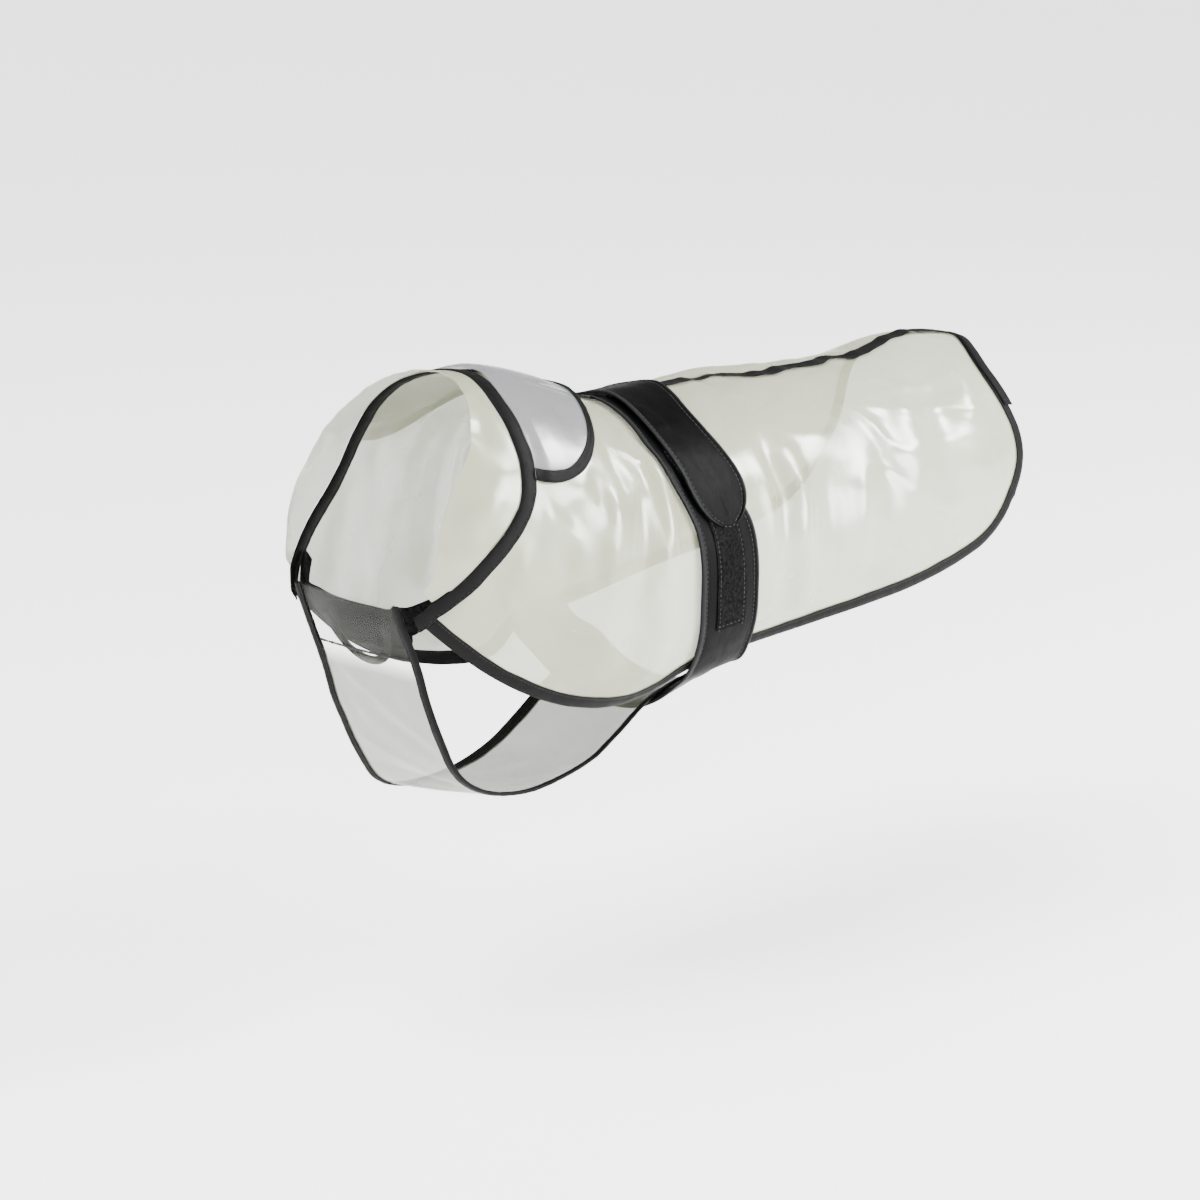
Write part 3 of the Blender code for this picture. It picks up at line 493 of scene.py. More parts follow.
def makeFilmMaterial(name, pale, dim, alpha, crinkled, clouded=0.0):
    # a frosted film looks clear where something touches its back, and clouded is the opacity that it gains
    # below the throat's hem
    look = Look(name, Specular_IOR_Level=filmLook["gloss"], IOR=1.5)
    place = look.place()
    cloud = look.noise(place, filmLook["cloudScale"], 2.0)
    crinkle = look.noise(place, filmLook["crumpleScale"], 3.0, "RIDGED_MULTIFRACTAL", 0.45).clamped()
    grain = look.noise(place, filmLook["grainScale"], 1.0)
    smear = look.noise(look.stretch(place, (1.0, 0.35, 1.0)), filmLook["smearScale"], 3.0)
    look.drive("Base Color", look.mix(cloud * 0.7 + smear * 0.3, dim, pale))
    look.drive("Roughness", filmLook["roughness"] + smear * filmLook["roughSpread"])
    alpha = alpha + (cloud - 0.5) * filmLook["cloud"] + crinkle * crinkled
    if clouded:
        height = look.node("SeparateXYZ", {}, {0: place}, output=2)
        alpha = alpha + ((filmLook["touches"] - height) * (1 / filmLook["clears"])).clamped() * clouded
    look.drive("Alpha", alpha.clamped())
    look.bump(cloud * filmLook["wave"] + crinkle * filmLook["crumple"] + grain * filmLook["grain"])
    return look.material


tapeLook = dict(dark=(0.0010, 0.0010, 0.0010), light=(0.0050, 0.0051, 0.0050), rib=0.0008, ribDepth=0.05,
                wearScale=90.0, roughness=0.42)


def makeTapeMaterial():
    look = Look("bindingTapeWoven", Specular_IOR_Level=0.06)
    along, across = look.flat()
    turns = 2 * math.pi / tapeLook["rib"]
    rib = (along * turns).sine() * 0.5 + 0.5
    thread = (across * (turns * 0.8)).sine() * 0.5 + 0.5
    wear = look.noise(look.place(), tapeLook["wearScale"], 3.0)
    look.drive("Base Color", look.mix(wear * 0.7 + rib * thread * 0.3, tapeLook["dark"], tapeLook["light"]))
    look.drive("Roughness", tapeLook["roughness"] + wear * 0.25)
    look.bump((rib * 0.6 + thread * 0.4) * tapeLook["ribDepth"] + wear * 0.5)
    return look.material


beltLook = dict(dark=(0.0004, 0.0004, 0.0005), light=(0.0034, 0.0034, 0.0037), pipingWithHighlight=(0.011, 0.011, 0.0118),
                nap=0.16, napScale=900.0, weave=4200.0, streakScale=60.0, wornScale=16.0, roughness=0.34,
                faceWidth=0.0506, pipingFrom=0.0212, sharpness=2500.0)


def makeBeltMaterial():
    look = Look("beltBrushed", Specular_IOR_Level=0.035)
    place = look.place()
    along, across = look.flat()
    nap = look.noise(place, beltLook["napScale"], 2.0)
    streak = look.noise(look.stretch(place, (0.4, 1.0, 0.4)), beltLook["streakScale"], 4.0, rough=0.6)
    worn = look.noise(place, beltLook["wornScale"], 2.0)
    weave = (along * beltLook["weave"]).sine() * (across * beltLook["weave"]).sine()
    tone = (streak - 0.35) * 1.6 * worn + (nap - 0.5) * 0.5
    # the distance from the middle line, on the upper face and on the lower one
    middle = (across.folded(beltLook["faceWidth"]) - beltLook["faceWidth"] / 2).absolute()
    pipingWithHighlight = ((middle - beltLook["pipingFrom"]) * beltLook["sharpness"]).clamped()
    webbing = look.mix(tone.clamped(), beltLook["dark"], beltLook["light"])
    # the bound edges are painted lighter than the webbing: a painted highlight along the real piping
    look.drive("Base Color", look.mix(pipingWithHighlight, webbing, beltLook["pipingWithHighlight"]))
    look.drive("Roughness", beltLook["roughness"] + streak * 0.24)
    look.bump(nap * beltLook["nap"] + weave * 0.03 + streak * 0.8)
    return look.material


pileLook = dict(dark=(0.0002, 0.0002, 0.0002), light=(0.0050, 0.0050, 0.0053), flecks=520.0, roughness=0.8)


def makePileMaterial():
    look = Look("hookAndLoopPile", Specular_IOR_Level=0.04)
    fleck = look.noise(look.place(), pileLook["flecks"], 3.0)
    mottled = ((fleck - 0.5) * 3.5 + 0.4).clamped()
    look.drive("Base Color", look.mix(mottled, pileLook["dark"], pileLook["light"]))
    look.drive("Roughness", pileLook["roughness"] - fleck * 0.2)
    look.bump(fleck * 0.1)
    return look.material


threadLook = dict(twists=2600.0, twist=0.06, roughness=0.45)


def makeThreadMaterial(name, dark, light):
    look = Look(name, Specular_IOR_Level=0.15)
    twist = look.noise(look.place(), threadLook["twists"], 1.0)
    look.drive("Base Color", look.mix(twist, (dark,) * 3, (light,) * 3))
    look.drive("Roughness", threadLook["roughness"] + twist * 0.2)
    look.bump(twist * threadLook["twist"])
    return look.material


# name, pale and dim colour, opacity, opacity added by crinkles, opacity added by clouding; two faces of
# each film are seen, so its whole opacity is higher than that of one face
filmMaterial = makeFilmMaterial("filmFrosted", (0.42, 0.437, 0.30), (0.245, 0.257, 0.178), 0.59, 0.16)
# the flap's film is a greyer, darker copy of the coat's film: partly its doubled, greyer film, partly
# painted shade
flapMaterial = makeFilmMaterial("filmDoubledAndPaintedShade", (0.24, 0.24, 0.25), (0.15, 0.15, 0.16), 0.60, 0.12)
# the chest panel's film is a darker copy of the coat's film, which is painted shade; it shows most below the
# throat's hem, where this film clouds
chestMaterial = makeFilmMaterial("filmOverChestPaintedShade", (0.145, 0.15, 0.12), (0.085, 0.09, 0.07), 0.05, 0.04, 0.56)
# the throat's hem and the tab behind the chest panel get a darker copy of the film, which is painted shade
backedMaterial = makeFilmMaterial("filmBehindPaintedShade", (0.16, 0.16, 0.16), (0.10, 0.10, 0.10), 0.02, 0.03)
tapeMaterial = makeTapeMaterial()
beltMaterial = makeBeltMaterial()
pileMaterial = makePileMaterial()
blackThread = makeThreadMaterial("threadBlack", 0.003, 0.020)
greyThread = makeThreadMaterial("threadGrey", 0.008, 0.04)
beltThread = makeThreadMaterial("threadBelt", 0.010, 0.04)
print("materials ready")


class Tree:
    # a geometry node tree, whose nodes are added by type and wired by socket name
    def __init__(self, name, inputs):
        self.tree = bpy.data.node_groups.new(name, "GeometryNodeTree")
        face = self.tree.interface
        face.new_socket("Geometry", in_out="INPUT", socket_type="NodeSocketGeometry")
        face.new_socket("Geometry", in_out="OUTPUT", socket_type="NodeSocketGeometry")
        for label, kind in inputs.items():
            face.new_socket(label, in_out="INPUT", socket_type="NodeSocket" + kind)
        self.start = self.tree.nodes.new("NodeGroupInput")
        self.end = self.tree.nodes.new("NodeGroupOutput")

    def node(self, kind, settings, values, output=0):
        made = self.tree.nodes.new(kind)
        for key, value in settings.items():
            setattr(made, key, value)
        for key, value in values.items():
            if isinstance(value, bpy.types.NodeSocket):
                self.tree.links.new(value, made.inputs[key])
            else:
                made.inputs[key].default_value = value
        return made.outputs[output]

    def finish(self, instances):
        solid = self.node("GeometryNodeRealizeInstances", {}, {"Geometry": instances})
        smooth = self.node("GeometryNodeSetShadeSmooth", {}, {"Geometry": solid})
        finish = {"Geometry": smooth, "Material": self.start.outputs["Material"]}
        self.tree.links.new(self.node("GeometryNodeSetMaterial", {}, finish), self.end.inputs["Geometry"])


def makeStitchTree():
    labels = {"Pitch": "Float", "Length": "Float", "Thickness": "Float", "Material": "Material"}
    tree = Tree("stitchesAlongLine", labels)
    given = tree.start.outputs
    line = tree.node("GeometryNodeMeshToCurve", {}, {"Mesh": given["Geometry"]})
    pitch = {"Curve": line, "Length": given["Pitch"]}
    spots = tree.node("GeometryNodeResampleCurve", {"mode": "LENGTH"}, pitch)
    along = tree.node("GeometryNodeInputTangent", {}, {})
    up = tree.node("GeometryNodeInputNamedAttribute", {"data_type": "FLOAT_VECTOR"}, {"Name": "up"})
    turned = tree.node("FunctionNodeAlignRotationToVector", {"axis": "X"}, {"Vector": along})
    aligned = {"Rotation": turned, "Vector": up}
    turned = tree.node("FunctionNodeAlignRotationToVector", {"axis": "Z", "pivot_axis": "X"}, aligned)
    ball = tree.node("GeometryNodeMeshUVSphere", {}, {"Segments": 6, "Rings": 4, "Radius": 0.5})
    size = {"X": given["Length"], "Y": given["Thickness"], "Z": given["Thickness"]}
    size = tree.node("ShaderNodeCombineXYZ", {}, size)
    stitch = tree.node("GeometryNodeTransform", {}, {"Geometry": ball, "Scale": size})
    sizes = {2: 0.82, 3: 1.12, "Seed": 7}
    uneven = tree.node("FunctionNodeRandomValue", {"data_type": "FLOAT"}, sizes, output=1)
    spread = {"Points": spots, "Instance": stitch, "Rotation": turned, "Scale": uneven}
    tree.finish(tree.node("GeometryNodeInstanceOnPoints", {}, spread))
    return tree.tree


def makePileTree():
    labels = {"Spacing": "Float", "Loop": "Float", "Thread": "Float", "Seed": "Int", "Material": "Material"}
    tree = Tree("loopsOverFace", labels)
    given = tree.start.outputs
    spread = {"Mesh": given["Geometry"], "Distance Min": given["Spacing"], "Density Max": 4.0e6}
    spread["Seed"] = given["Seed"]
    scatter = tree.node("GeometryNodeDistributePointsOnFaces", {"distribute_method": "POISSON"}, spread)
    facing = scatter.node.outputs["Rotation"]
    arc = {"Resolution": 6, "Radius": given["Loop"], "Start Angle": -0.3, "Sweep Angle": math.pi + 0.6}
    line = tree.node("GeometryNodeCurveArc", {"mode": "RADIUS"}, arc)
    ring = {"Resolution": 3, "Radius": given["Thread"]}
    ring = tree.node("GeometryNodeCurvePrimitiveCircle", {"mode": "RADIUS"}, ring)
    loop = {"Curve": line, "Profile Curve": ring, "Fill Caps": True}
    loop = tree.node("GeometryNodeCurveToMesh", {}, loop)
    upright = tree.node("GeometryNodeTransform", {}, {"Geometry": loop, "Rotation": (math.pi / 2, 0, 0)})
    spin = {0: (-0.5, -0.5, 0.0), 1: (0.5, 0.5, 2 * math.pi), "Seed": given["Seed"]}
    spin = tree.node("FunctionNodeRandomValue", {"data_type": "FLOAT_VECTOR"}, spin)
    spin = tree.node("FunctionNodeEulerToRotation", {}, {"Euler": spin})
    turned = {"Rotation": facing, "Rotate By": spin}
    turned = tree.node("FunctionNodeRotateRotation", {"rotation_space": "LOCAL"}, turned)
    spread = {"Points": scatter, "Instance": upright, "Rotation": turned}
    tree.finish(tree.node("GeometryNodeInstanceOnPoints", {}, spread))
    return tree.tree


def growPiece(name, source, tree, values):
    # runs the tree on the source object and keeps only the plain mesh that it makes
    modifier = source.modifiers.new("grow", "NODES")
    modifier.node_group = tree
    for item in tree.interface.items_tree:
        if item.in_out == "INPUT" and item.name in values:
            modifier[item.identifier] = values[item.name]
    graph = bpy.context.evaluated_depsgraph_get()
    mesh = bpy.data.meshes.new_from_object(source.evaluated_get(graph))
    bpy.data.objects.remove(source)
    mesh.name = name
    return linked(name, mesh)


stitchTree = makeStitchTree()
pileTree = makePileTree()
stitching = dict(pitch=3.0, length=2.2, thickness=0.42)
stitchLift = 0.05  # above a flat tape
pileThread = 0.09


def stitchPiece(name, runs, thread, **changes):
    # runs are (points, ups): the line of each seam in mm and the way that its cloth faces
    sizes = {**stitching, **changes}
    points, edges, ups = [], [], []
    for line, up in runs:
        first = len(points)
        points += list(np.asarray(line))
        ups += list(np.asarray(up))
        edges += [(k, k + 1) for k in range(first, len(points) - 1)]
    mesh = bpy.data.meshes.new(name + "Line")
    mesh.from_pydata((np.array(points) * mm).tolist(), edges, [])
    mesh.attributes.new("up", "FLOAT_VECTOR", "POINT").data.foreach_set("vector", np.array(ups).ravel())
    values = {key.capitalize(): value * mm for key, value in sizes.items()}
    return growPiece(name, linked(name + "Line", mesh), stitchTree, {**values, "Material": thread})


def pilePiece(name, points, spacing, loop, seed):
    # points are a grid of places on the face that carries the loops
    rows, columns = points.shape[:2]
    index = np.arange(rows * columns).reshape(rows, columns)
    quads = np.stack([index[:-1, :-1], index[1:, :-1], index[1:, 1:], index[:-1, 1:]], -1).reshape(-1, 4)
    mesh = bpy.data.meshes.new(name + "Face")
    mesh.from_pydata((points.reshape(-1, 3) * mm).tolist(), [], quads.tolist())
    values = {"Spacing": spacing * mm, "Loop": loop * mm, "Thread": pileThread * mm, "Seed": seed}
    return growPiece(name, linked(name + "Face", mesh), pileTree, {**values, "Material": pileMaterial})


print("node trees ready")


def edgeFade():
    # 0 on and beside the bindings, 1 in the open film
    columns, rows = coat["columns"] + 3, coat["rows"] + 2
    i, j = np.meshgrid(np.arange(columns), np.arange(rows), indexing="ij")
    alongStep, aroundStep = coat["fadeSpan"][0] / coat["columns"], coat["fadeSpan"][1] / coat["rows"]
    distance = np.minimum((i - 1) * alongStep, (columns - 2 - i) * alongStep)
    distance = np.minimum(distance, (rows - 2 - j) * aroundStep)
    return smoothStep((distance - coat["fadeFrom"]) / coat["fade"])


def openCreases(station, turn, mask):
    beside = coat["pressed"] + (1 - coat["pressed"]) * besideBelt(station, turn)
    creases = creaseHeight(station, turn)
    creases = creases * smoothStep((np.abs(turn) - coat["besideSeam"]) / coat["seamFade"])
    for middle, half, peak in farPuffs:
        across = np.exp(-(((turn - farPuffTurn["middle"]) / farPuffTurn["half"]) ** 2))
        creases = creases + peak * across * np.exp(-(((station - middle) / half) ** 2))
    return creases * mask * beside


def makeCoatHalf(name, side):
    station, turn = grids[side]
    middle = wallFilm / 2 + openCreases(station, turn, edgeFade())
    return filmPiece(name, lambda lift: clothPoint(station, turn, lift), middle, filmMaterial)


coatFilmLeft = makeCoatHalf("coatFilmLeft", 1)
coatFilmRight = makeCoatHalf("coatFilmRight", -1)
print("coat halves made")


# share of the way from the stitching to the cut edge, height of the tape's outside above the film's middle
foldedProfile = [
    (0.02, 0.62), (0.05, 0.98), (0.16, 1.06), (0.24, 0.92), (0.34, 1.18), (0.55, 1.34), (0.78, 1.26),
    (0.94, 0.98), (1.06, 0.48), (1.09, 0.0),
]
folded = dict(
    skin=0.48, fold=0.98, wobble=0.35, wobbles=(23.0, 37.0, 61.0), pucker=0.14, puckers=(5.5, 8.0, 13.0),
    stitchAt=0.2, stitchLift=0.98,
)


def foldedSections(stitchedLow, stitchedHigh, cutLow, cutHigh, seed, inset):
    # the tape's sections round a film whose two faces are given along the stitching and along the cut edge
    inner, outer = (stitchedLow + stitchedHigh) / 2, (cutLow + cutHigh) / 2
    across, up = outer - inner, unit(cutHigh - cutLow + stitchedHigh - stitchedLow)
    run = np.concatenate([[0], np.cumsum(np.linalg.norm(np.diff(inner, axis=0), axis=-1))])
    wobble = folded["wobble"] * ripple(run, seed, *folded["wobbles"])
    swell = 1 + folded["pucker"] * ripple(run, seed + 1, *folded["puckers"])
    width = np.linalg.norm(across, axis=-1)
    across = unit(across)
    profile = np.array(foldedProfile)
    shares = np.concatenate([profile[:, 0], profile[-2::-1, 0]])
    heights = np.concatenate([profile[:, 1], -profile[-2::-1, 1]])
    shares = np.where(shares < 1, inset + (1 - inset) * shares, shares)
    inside = np.minimum(shares, folded["fold"])
    insideHeights = np.sign(heights) * folded["skin"] * (shares < 1)
    rises = np.concatenate([heights[:, None] * swell, insideHeights[::-1, None] * np.ones_like(swell)])
    sections = []
    for share, rise in zip(np.concatenate([shares, inside[::-1]]), rises):
        place = share * width + wobble * (1 - share)
        sections.append(inner + across * place[:, None] + up * rise[:, None])
    return np.stack(sections, 1), (inner, across * width[:, None], up)


def foldedTape(name, surface, stitched, cut, seed, inset=0.0):
    # stitched and cut are lines on the surface, each with the lift of the film's lower face
    faces = [surface(*line[:2], line[2] + lift) for line in (stitched, cut) for lift in (0.0, wallFilm)]
    sections, (inner, across, up) = foldedSections(*faces, seed, inset)
    piece = loft(name, sections, tapeMaterial)
    seam = inner + across * (inset + folded["stitchAt"] * (1 - inset))
    # the stitches sink into the groove on either side of the tape
    runs = [(seam + up * side * folded["stitchLift"], up * side) for side in (1, -1)]
    return piece, stitchPiece(name + "Stitches", runs, blackThread)


pastTips = 5.0  # the neck binding runs on this far past both tips


def runOn(line, length):
    # carries a line of stations and turns on past both ends
    ends = []
    for end, inside in ((0, 3), (-1, -4)):
        step = line[:, end] - line[:, inside]
        real = math.hypot(step[0] / stationsPerMm(*line[:, end]), step[1] / degreesPerMm(*line[:, end]))
        ends.append((line[:, end] + step * length / real)[:, None])
    return np.concatenate([ends[0], line, ends[1]], axis=1)


neckLines = [runOn(border(lambda grid, column=column: grid[:, column]), pastTips) for column in (1, 0)]
hemLines = [border(alongRearAndHem(line, line)) for line in (-2, -1)]
neckStitched, neckCut, hemStitched, hemCut = ((*line, 0.0) for line in neckLines + hemLines)
neckBinding, neckStitches = foldedTape("neckBinding", clothPoint, neckStitched, neckCut, 11)
hemBinding, hemStitches = foldedTape("hemBinding", clothPoint, hemStitched, hemCut, 23, inset=0.14)
print("coat bindings made")


roundedEdge = 0.35  # thickness at a flat tape's two long edges, as a share of its whole thickness


def flatPiece(name, points, ups, thickness, material):
    # points run down the tape and across it, on its underside
    rounding = np.ones(points.shape[1])
    rounding[[0, -1]] = roundedEdge
    half = thickness / 2
    middle = points + ups * half
    aside = ups * (half * rounding)[None, :, None]
    return loft(name, bothFaces(middle - aside, middle + aside), material)


def clothUps(station, turn):
    return unit(clothPoint(station, turn, 1.0) - clothPoint(station, turn, 0.0))


spineTape = dict(
    width=11.0, thickness=0.6, steps=8, wave=0.35, waves=(11.0, 17.0, 31.0), sway=0.35, sways=(19.0, 33.0),
    middleFlat=0.6, fade=20.0,
)


def makeSpineTape():
    station = grids[1][0][1:-1, 0]
    seam = readTable(seamLine, station)[..., 0]
    across = np.linspace(-0.5, 0.5, spineTape["steps"] + 1) * spineTape["width"]
    run = station - station[0]
    sway = spineTape["sway"] * ripple(run, 5, *spineTape["sways"])
    place = across[None, :] + sway[:, None]
    turn = seam[:, None] + place * degreesPerMm(station, seam)[:, None]
    station = np.broadcast_to(station[:, None], turn.shape)
    buckle = spineTape["wave"] * (1 + ripple(run, 6, *spineTape["waves"]))[:, None]
    dip = spineTape["middleFlat"] * np.cos(np.linspace(-1, 1, turn.shape[1]) * np.pi)
    buckle = buckle * (1 - dip)[None, :] / 2
    fade = smoothStep(np.minimum(run, run[-1] - run) / spineTape["fade"])[:, None]
    low = clothPoint(station, turn, overFilm + buckle * fade)
    ups = clothUps(station, turn)
    piece = flatPiece("spineTape", low, ups, spineTape["thickness"], tapeMaterial)
    top = low + ups * (spineTape["thickness"] + stitchLift)
    runs = [(top[2:-2, k], ups[2:-2, k]) for k in (1, -2)]
    return piece, stitchPiece("spineTapeStitches", runs, blackThread)


spineTapePiece, spineStitches = makeSpineTape()


# rows: turn, how far the tape reaches past the cut edge; it lies on the hem's binding and droops
rearTape = dict(
    rows=[(9, 1.2), (22, 2.2), (34, 4.2), (46, 5.6), (56, 5.4)], width=11.0, thickness=0.7, steps=40,
    across=6, lift=2.05, droop=1.3,
)


def makeRearTape():
    cutStation, cutTurn = grids[1][:, -1, :-1]
    turn = np.linspace(rearTape["rows"][0][0], rearTape["rows"][-1][0], rearTape["steps"] + 1)
    outer = np.interp(turn, cutTurn, cutStation) + readTable(rearTape["rows"], turn)[..., 0]
    share = np.linspace(0, 1, rearTape["across"] + 1)[None, :]
    station = outer[:, None] - (1 - share) * rearTape["width"]
    turn = np.broadcast_to(turn[:, None], station.shape)
    low = clothPoint(station, turn, rearTape["lift"] - rearTape["droop"] * share**2)
    ups = clothUps(station, turn)
    piece = flatPiece("rearTapeEnd", low, ups, rearTape["thickness"], tapeMaterial)
    top = low + ups * (rearTape["thickness"] + stitchLift)
    runs = [(top[2:-2, 1], ups[2:-2, 1]), (top[-3, 1:-1], ups[-3, 1:-1])]
    return piece, stitchPiece("rearTapeStitches", runs, blackThread)


rearTapePiece, rearTapeStitches = makeRearTape()
print("tapes made")


collar = dict(
    edge=[(0, -243), (50, -238), (76, -229), (92, -225), (107, -213), (121, -194), (131, -189)],
    clearance=wallTape + 3 * gap, leastWidth=3.0, steps=18, flatShare=0.25, ripple=0.5,
    ripples=(14.0, 23.0, 41.0),
)
# turn, share of the height, half turns, half height, height in mm
collarCreases = [
    (92, 0.45, 10, 0.30, 1.3), (104, 0.55, 5, 0.5, -1.0), (78, 0.5, 7, 0.45, 1.0), (60, 0.7, 9, 0.3, -0.9),
    (46, 0.4, 8, 0.4, 0.9), (20, 0.6, 10, 0.3, 0.8), (-8, 0.5, 9, 0.4, -0.8), (-34, 0.6, 9, 0.35, 0.9),
    (-58, 0.45, 8, 0.4, -0.9), (-80, 0.6, 8, 0.4, 1.1), (-98, 0.5, 6, 0.5, -1.0), (-112, 0.6, 5, 0.4, 0.8),
    (114, 0.6, 4, 0.4, 0.8), (32, 0.8, 6, 0.2, 0.7),
]


def makeCollar():
    cut = border(lambda grid: grid[:, 0, :-1])
    before, after = neighbours(cut.shape[1])
    back = np.array(outward(*cut, cut[:, before], cut[:, after], -collar["clearance"]))
    edge = readTable(collar["edge"], np.abs(cut[1]))[..., 0]
    front = np.minimum(edge, back[0] - collar["leastWidth"])
    share = np.linspace(0, 1, collar["steps"] + 1)[None, :]
    station = back[0][:, None] + share * (front - back[0])[:, None]
    turn = back[1][:, None] + share * (cut[1] - back[1])[:, None]
    crease = np.zeros(turn.shape)
    for at, height, halfTurn, halfHeight, peak in collarCreases:
        crease += peak * np.exp(-(((turn - at) / halfTurn) ** 2) - ((share - height) / halfHeight) ** 2)
    waves = collar["ripple"] * ripple(turn * 1.3, 31, *collar["ripples"]) * share**2
    middle = wallFilm / 2 + (crease * smoothStep(share / collar["flatShare"]) + waves)
    return filmPiece("collarFilm", lambda lift: clothPoint(station, turn, lift), middle, filmMaterial)


collarFilm = makeCollar()
print("collar made")


flap = dict(
    halfWidth=73.5, length=109.0, narrowing=0.35, border=(4.6, 6.0), spokes=84, rings=16,
    besideTape=(8.0, 16.0),
    overTape=overTape + wallTape + 3 * gap, onCoat=3.1, atNeck=1.3, atNeckOnTape=2.9, rise=16.0, caught=0.9,
)
# along, turn, half width, height
flapCreases = [
    (40, 30, 12, 0.7), (62, 44, 9, -0.5), (30, 52, 8, 0.5), (70, 12, 12, 0.5), (44, -28, 12, 0.6),
    (66, -42, 9, -0.5), (22, -50, 8, 0.5), (84, -6, 10, 0.4),
]


def halfDisc(sizes):
    # spokes from the middle of a D's straight side; the last two rings are the stitches and the edge
    angle = np.linspace(-math.pi / 2, math.pi / 2, sizes["spokes"] + 1)[:, None]
    share = np.linspace(0, 1, sizes["rings"] + 1)[None, :]
    reach = sizes["halfWidth"], sizes["length"]
    across, along = (np.append(share * (far - rim), [[far]], 1) for far, rim in zip(reach, sizes["border"]))
    return np.sin(angle) * across, np.cos(angle) * along


def flapLift(along, turn):
    beside = smoothStep((np.abs(turn) - flap["besideTape"][0]) / flap["besideTape"][1])
    atNeck = flap["atNeckOnTape"] + (flap["atNeck"] - flap["atNeckOnTape"]) * beside
    away = flap["overTape"] + (flap["onCoat"] - flap["overTape"]) * beside
    return atNeck + (away - atNeck) * smoothStep(along / flap["rise"])


def makeFlap():
    turn, along = halfDisc(flap)
    narrowing = 1 - flap["narrowing"] * (turn / flap["halfWidth"]) ** 2
    station = readTable(neckLine, np.abs(turn) / hemLine[0][1])[..., 0] - flap["caught"] + along * narrowing
    crease = np.zeros(turn.shape)
    for far, at, half, peak in flapCreases:
        aside = (turn - at) * mmPerDegree / half / 1.6
        crease += peak * np.exp(-(((along - far) / half) ** 2) - aside**2)
    inward = np.linspace(1, 0, flap["rings"] + 2)[None, :]
    crease = crease * smoothStep((inward - 0.05) / 0.25)
    under = flapLift(along, turn)
    middle = under + wallFilm / 2 + crease
    piece = filmPiece("neckFlapFilm", lambda lift: clothPoint(station, turn, lift), middle, flapMaterial)
    lines = [(station[:, k], turn[:, k], under[:, k]) for k in (-2, -1)]
    return piece, *foldedTape("neckFlapBinding", clothPoint, *lines, 41)


neckFlapFilm, neckFlapBinding, neckFlapStitches = makeFlap()
print("neck flap made")


# down, half width, right y, right z, left y, left z, crown
chestRows = [
    (0, 42.5, -234.5, -78, -233.5, -78, 2), (13, 42.5, -230.5, -90, -229, -90, 2),
    (28, 42.5, -225, -104, -222.5, -104, 1.5), (45, 42.5, -218.5, -120, -216, -120, 1),
    (62, 42.5, -212.5, -136, -211, -136, 1), (79, 42.5, -207.5, -152, -205, -151.5, 1),
    (97, 42.5, -200, -168, -197.5, -168, 1), (113, 42.5, -193, -182.5, -190.5, -182, 1),
    (129, 42.5, -185, -196, -180.5, -193.5, 1), (145, 42.5, -175.5, -209, -167, -202, 1),
    (162, 42.5, -161, -217, -151, -207.5, 1.5), (187, 42.4, -136.5, -220, -126, -211, 3),
    (217, 42.2, -107, -218, -97, -208.5, 6), (248, 42, -77.5, -209.5, -71, -202.5, 9),
    (269, 41.4, -59, -199, -57, -196, 10.5), (285, 41, -46, -190.5, -46, -190.5, 11),
    (297, 41, -37, -185, -37, -185, 11), (308, 41, -28, -180, -28, -180, 11),
    (318, 41, -19, -176.2, -19, -176.2, 10.3), (337, 41, 0, -170.8, 0, -170.8, 13),
    (362, 41, 25, -167.4, 25, -167.4, 14.2),
]
chest = dict(
    steps=150, across=24, bindingWidth=5.6, fadeBeside=9.0, fadeTop=(6.0, 20.0), fadeEnd=(280.0, 30.0),
    hem=40.0, hemInset=1.5, hemSteps=(20, 28), hemStitchUp=2.0, hemStitchInset=1.0, hemStitchPoints=30,
    hemSeam=dict(pitch=2.2, length=2.5, thickness=1.6), backedDown=66.0, backedSinks=0.1,
)
# down, across, angle, half length, half width, height
chestCreases = [
    (70, 0, 40, 46, 5.0, 1.4), (96, 14, 34, 34, 4.0, -1.1), (52, -20, 60, 22, 4.0, 0.9),
    (112, -14, 24, 30, 4.0, 1.0), (132, 6, 12, 34, 4.0, -0.9), (60, 22, 80, 20, 3.4, 0.8),
    (150, -8, 4, 30, 4.0, 0.9), (84, -26, 70, 18, 3.2, -0.8), (176, 8, -14, 30, 5.0, 0.9),
    (214, -6, 10, 30, 5.0, -0.9), (246, 8, -8, 28, 5.0, 0.8), (28, 10, 15, 24, 3.6, 0.5),
]


def chestPoint(down, across, lift):
    down, across = np.broadcast_arrays(np.asarray(down, float), np.asarray(across, float))
    halfWidth, rightY, rightZ, leftY, leftZ, crown = np.moveaxis(readTable(chestRows, down), -1, 0)
    share = across / halfWidth
    toLeft = (1 + share) / 2
    y, z = rightY + (leftY - rightY) * toLeft, rightZ + (leftZ - rightZ) * toLeft
    step = readTable(chestRows, down + 1.0) - readTable(chestRows, down - 1.0)
    ahead = unit(step[..., 1:3] + (step[..., 3:5] - step[..., 1:3]) * toLeft[..., None])
    out = np.asarray(lift, float) + crown * (1 - share**2)
    return np.stack([across, y + ahead[..., 1] * out, z - ahead[..., 0] * out], -1)


def chestCrease(down, across):
    height = np.zeros(down.shape)
    for middle, at, angle, halfLength, halfWidth, peak in chestCreases:
        run, side = fromCrease(across - at, down - middle, angle, halfLength)
        height += peak * smoothStep(1.3 - np.abs(run)) * np.exp(-((np.abs(side) / halfWidth) ** 1.4))
    return height


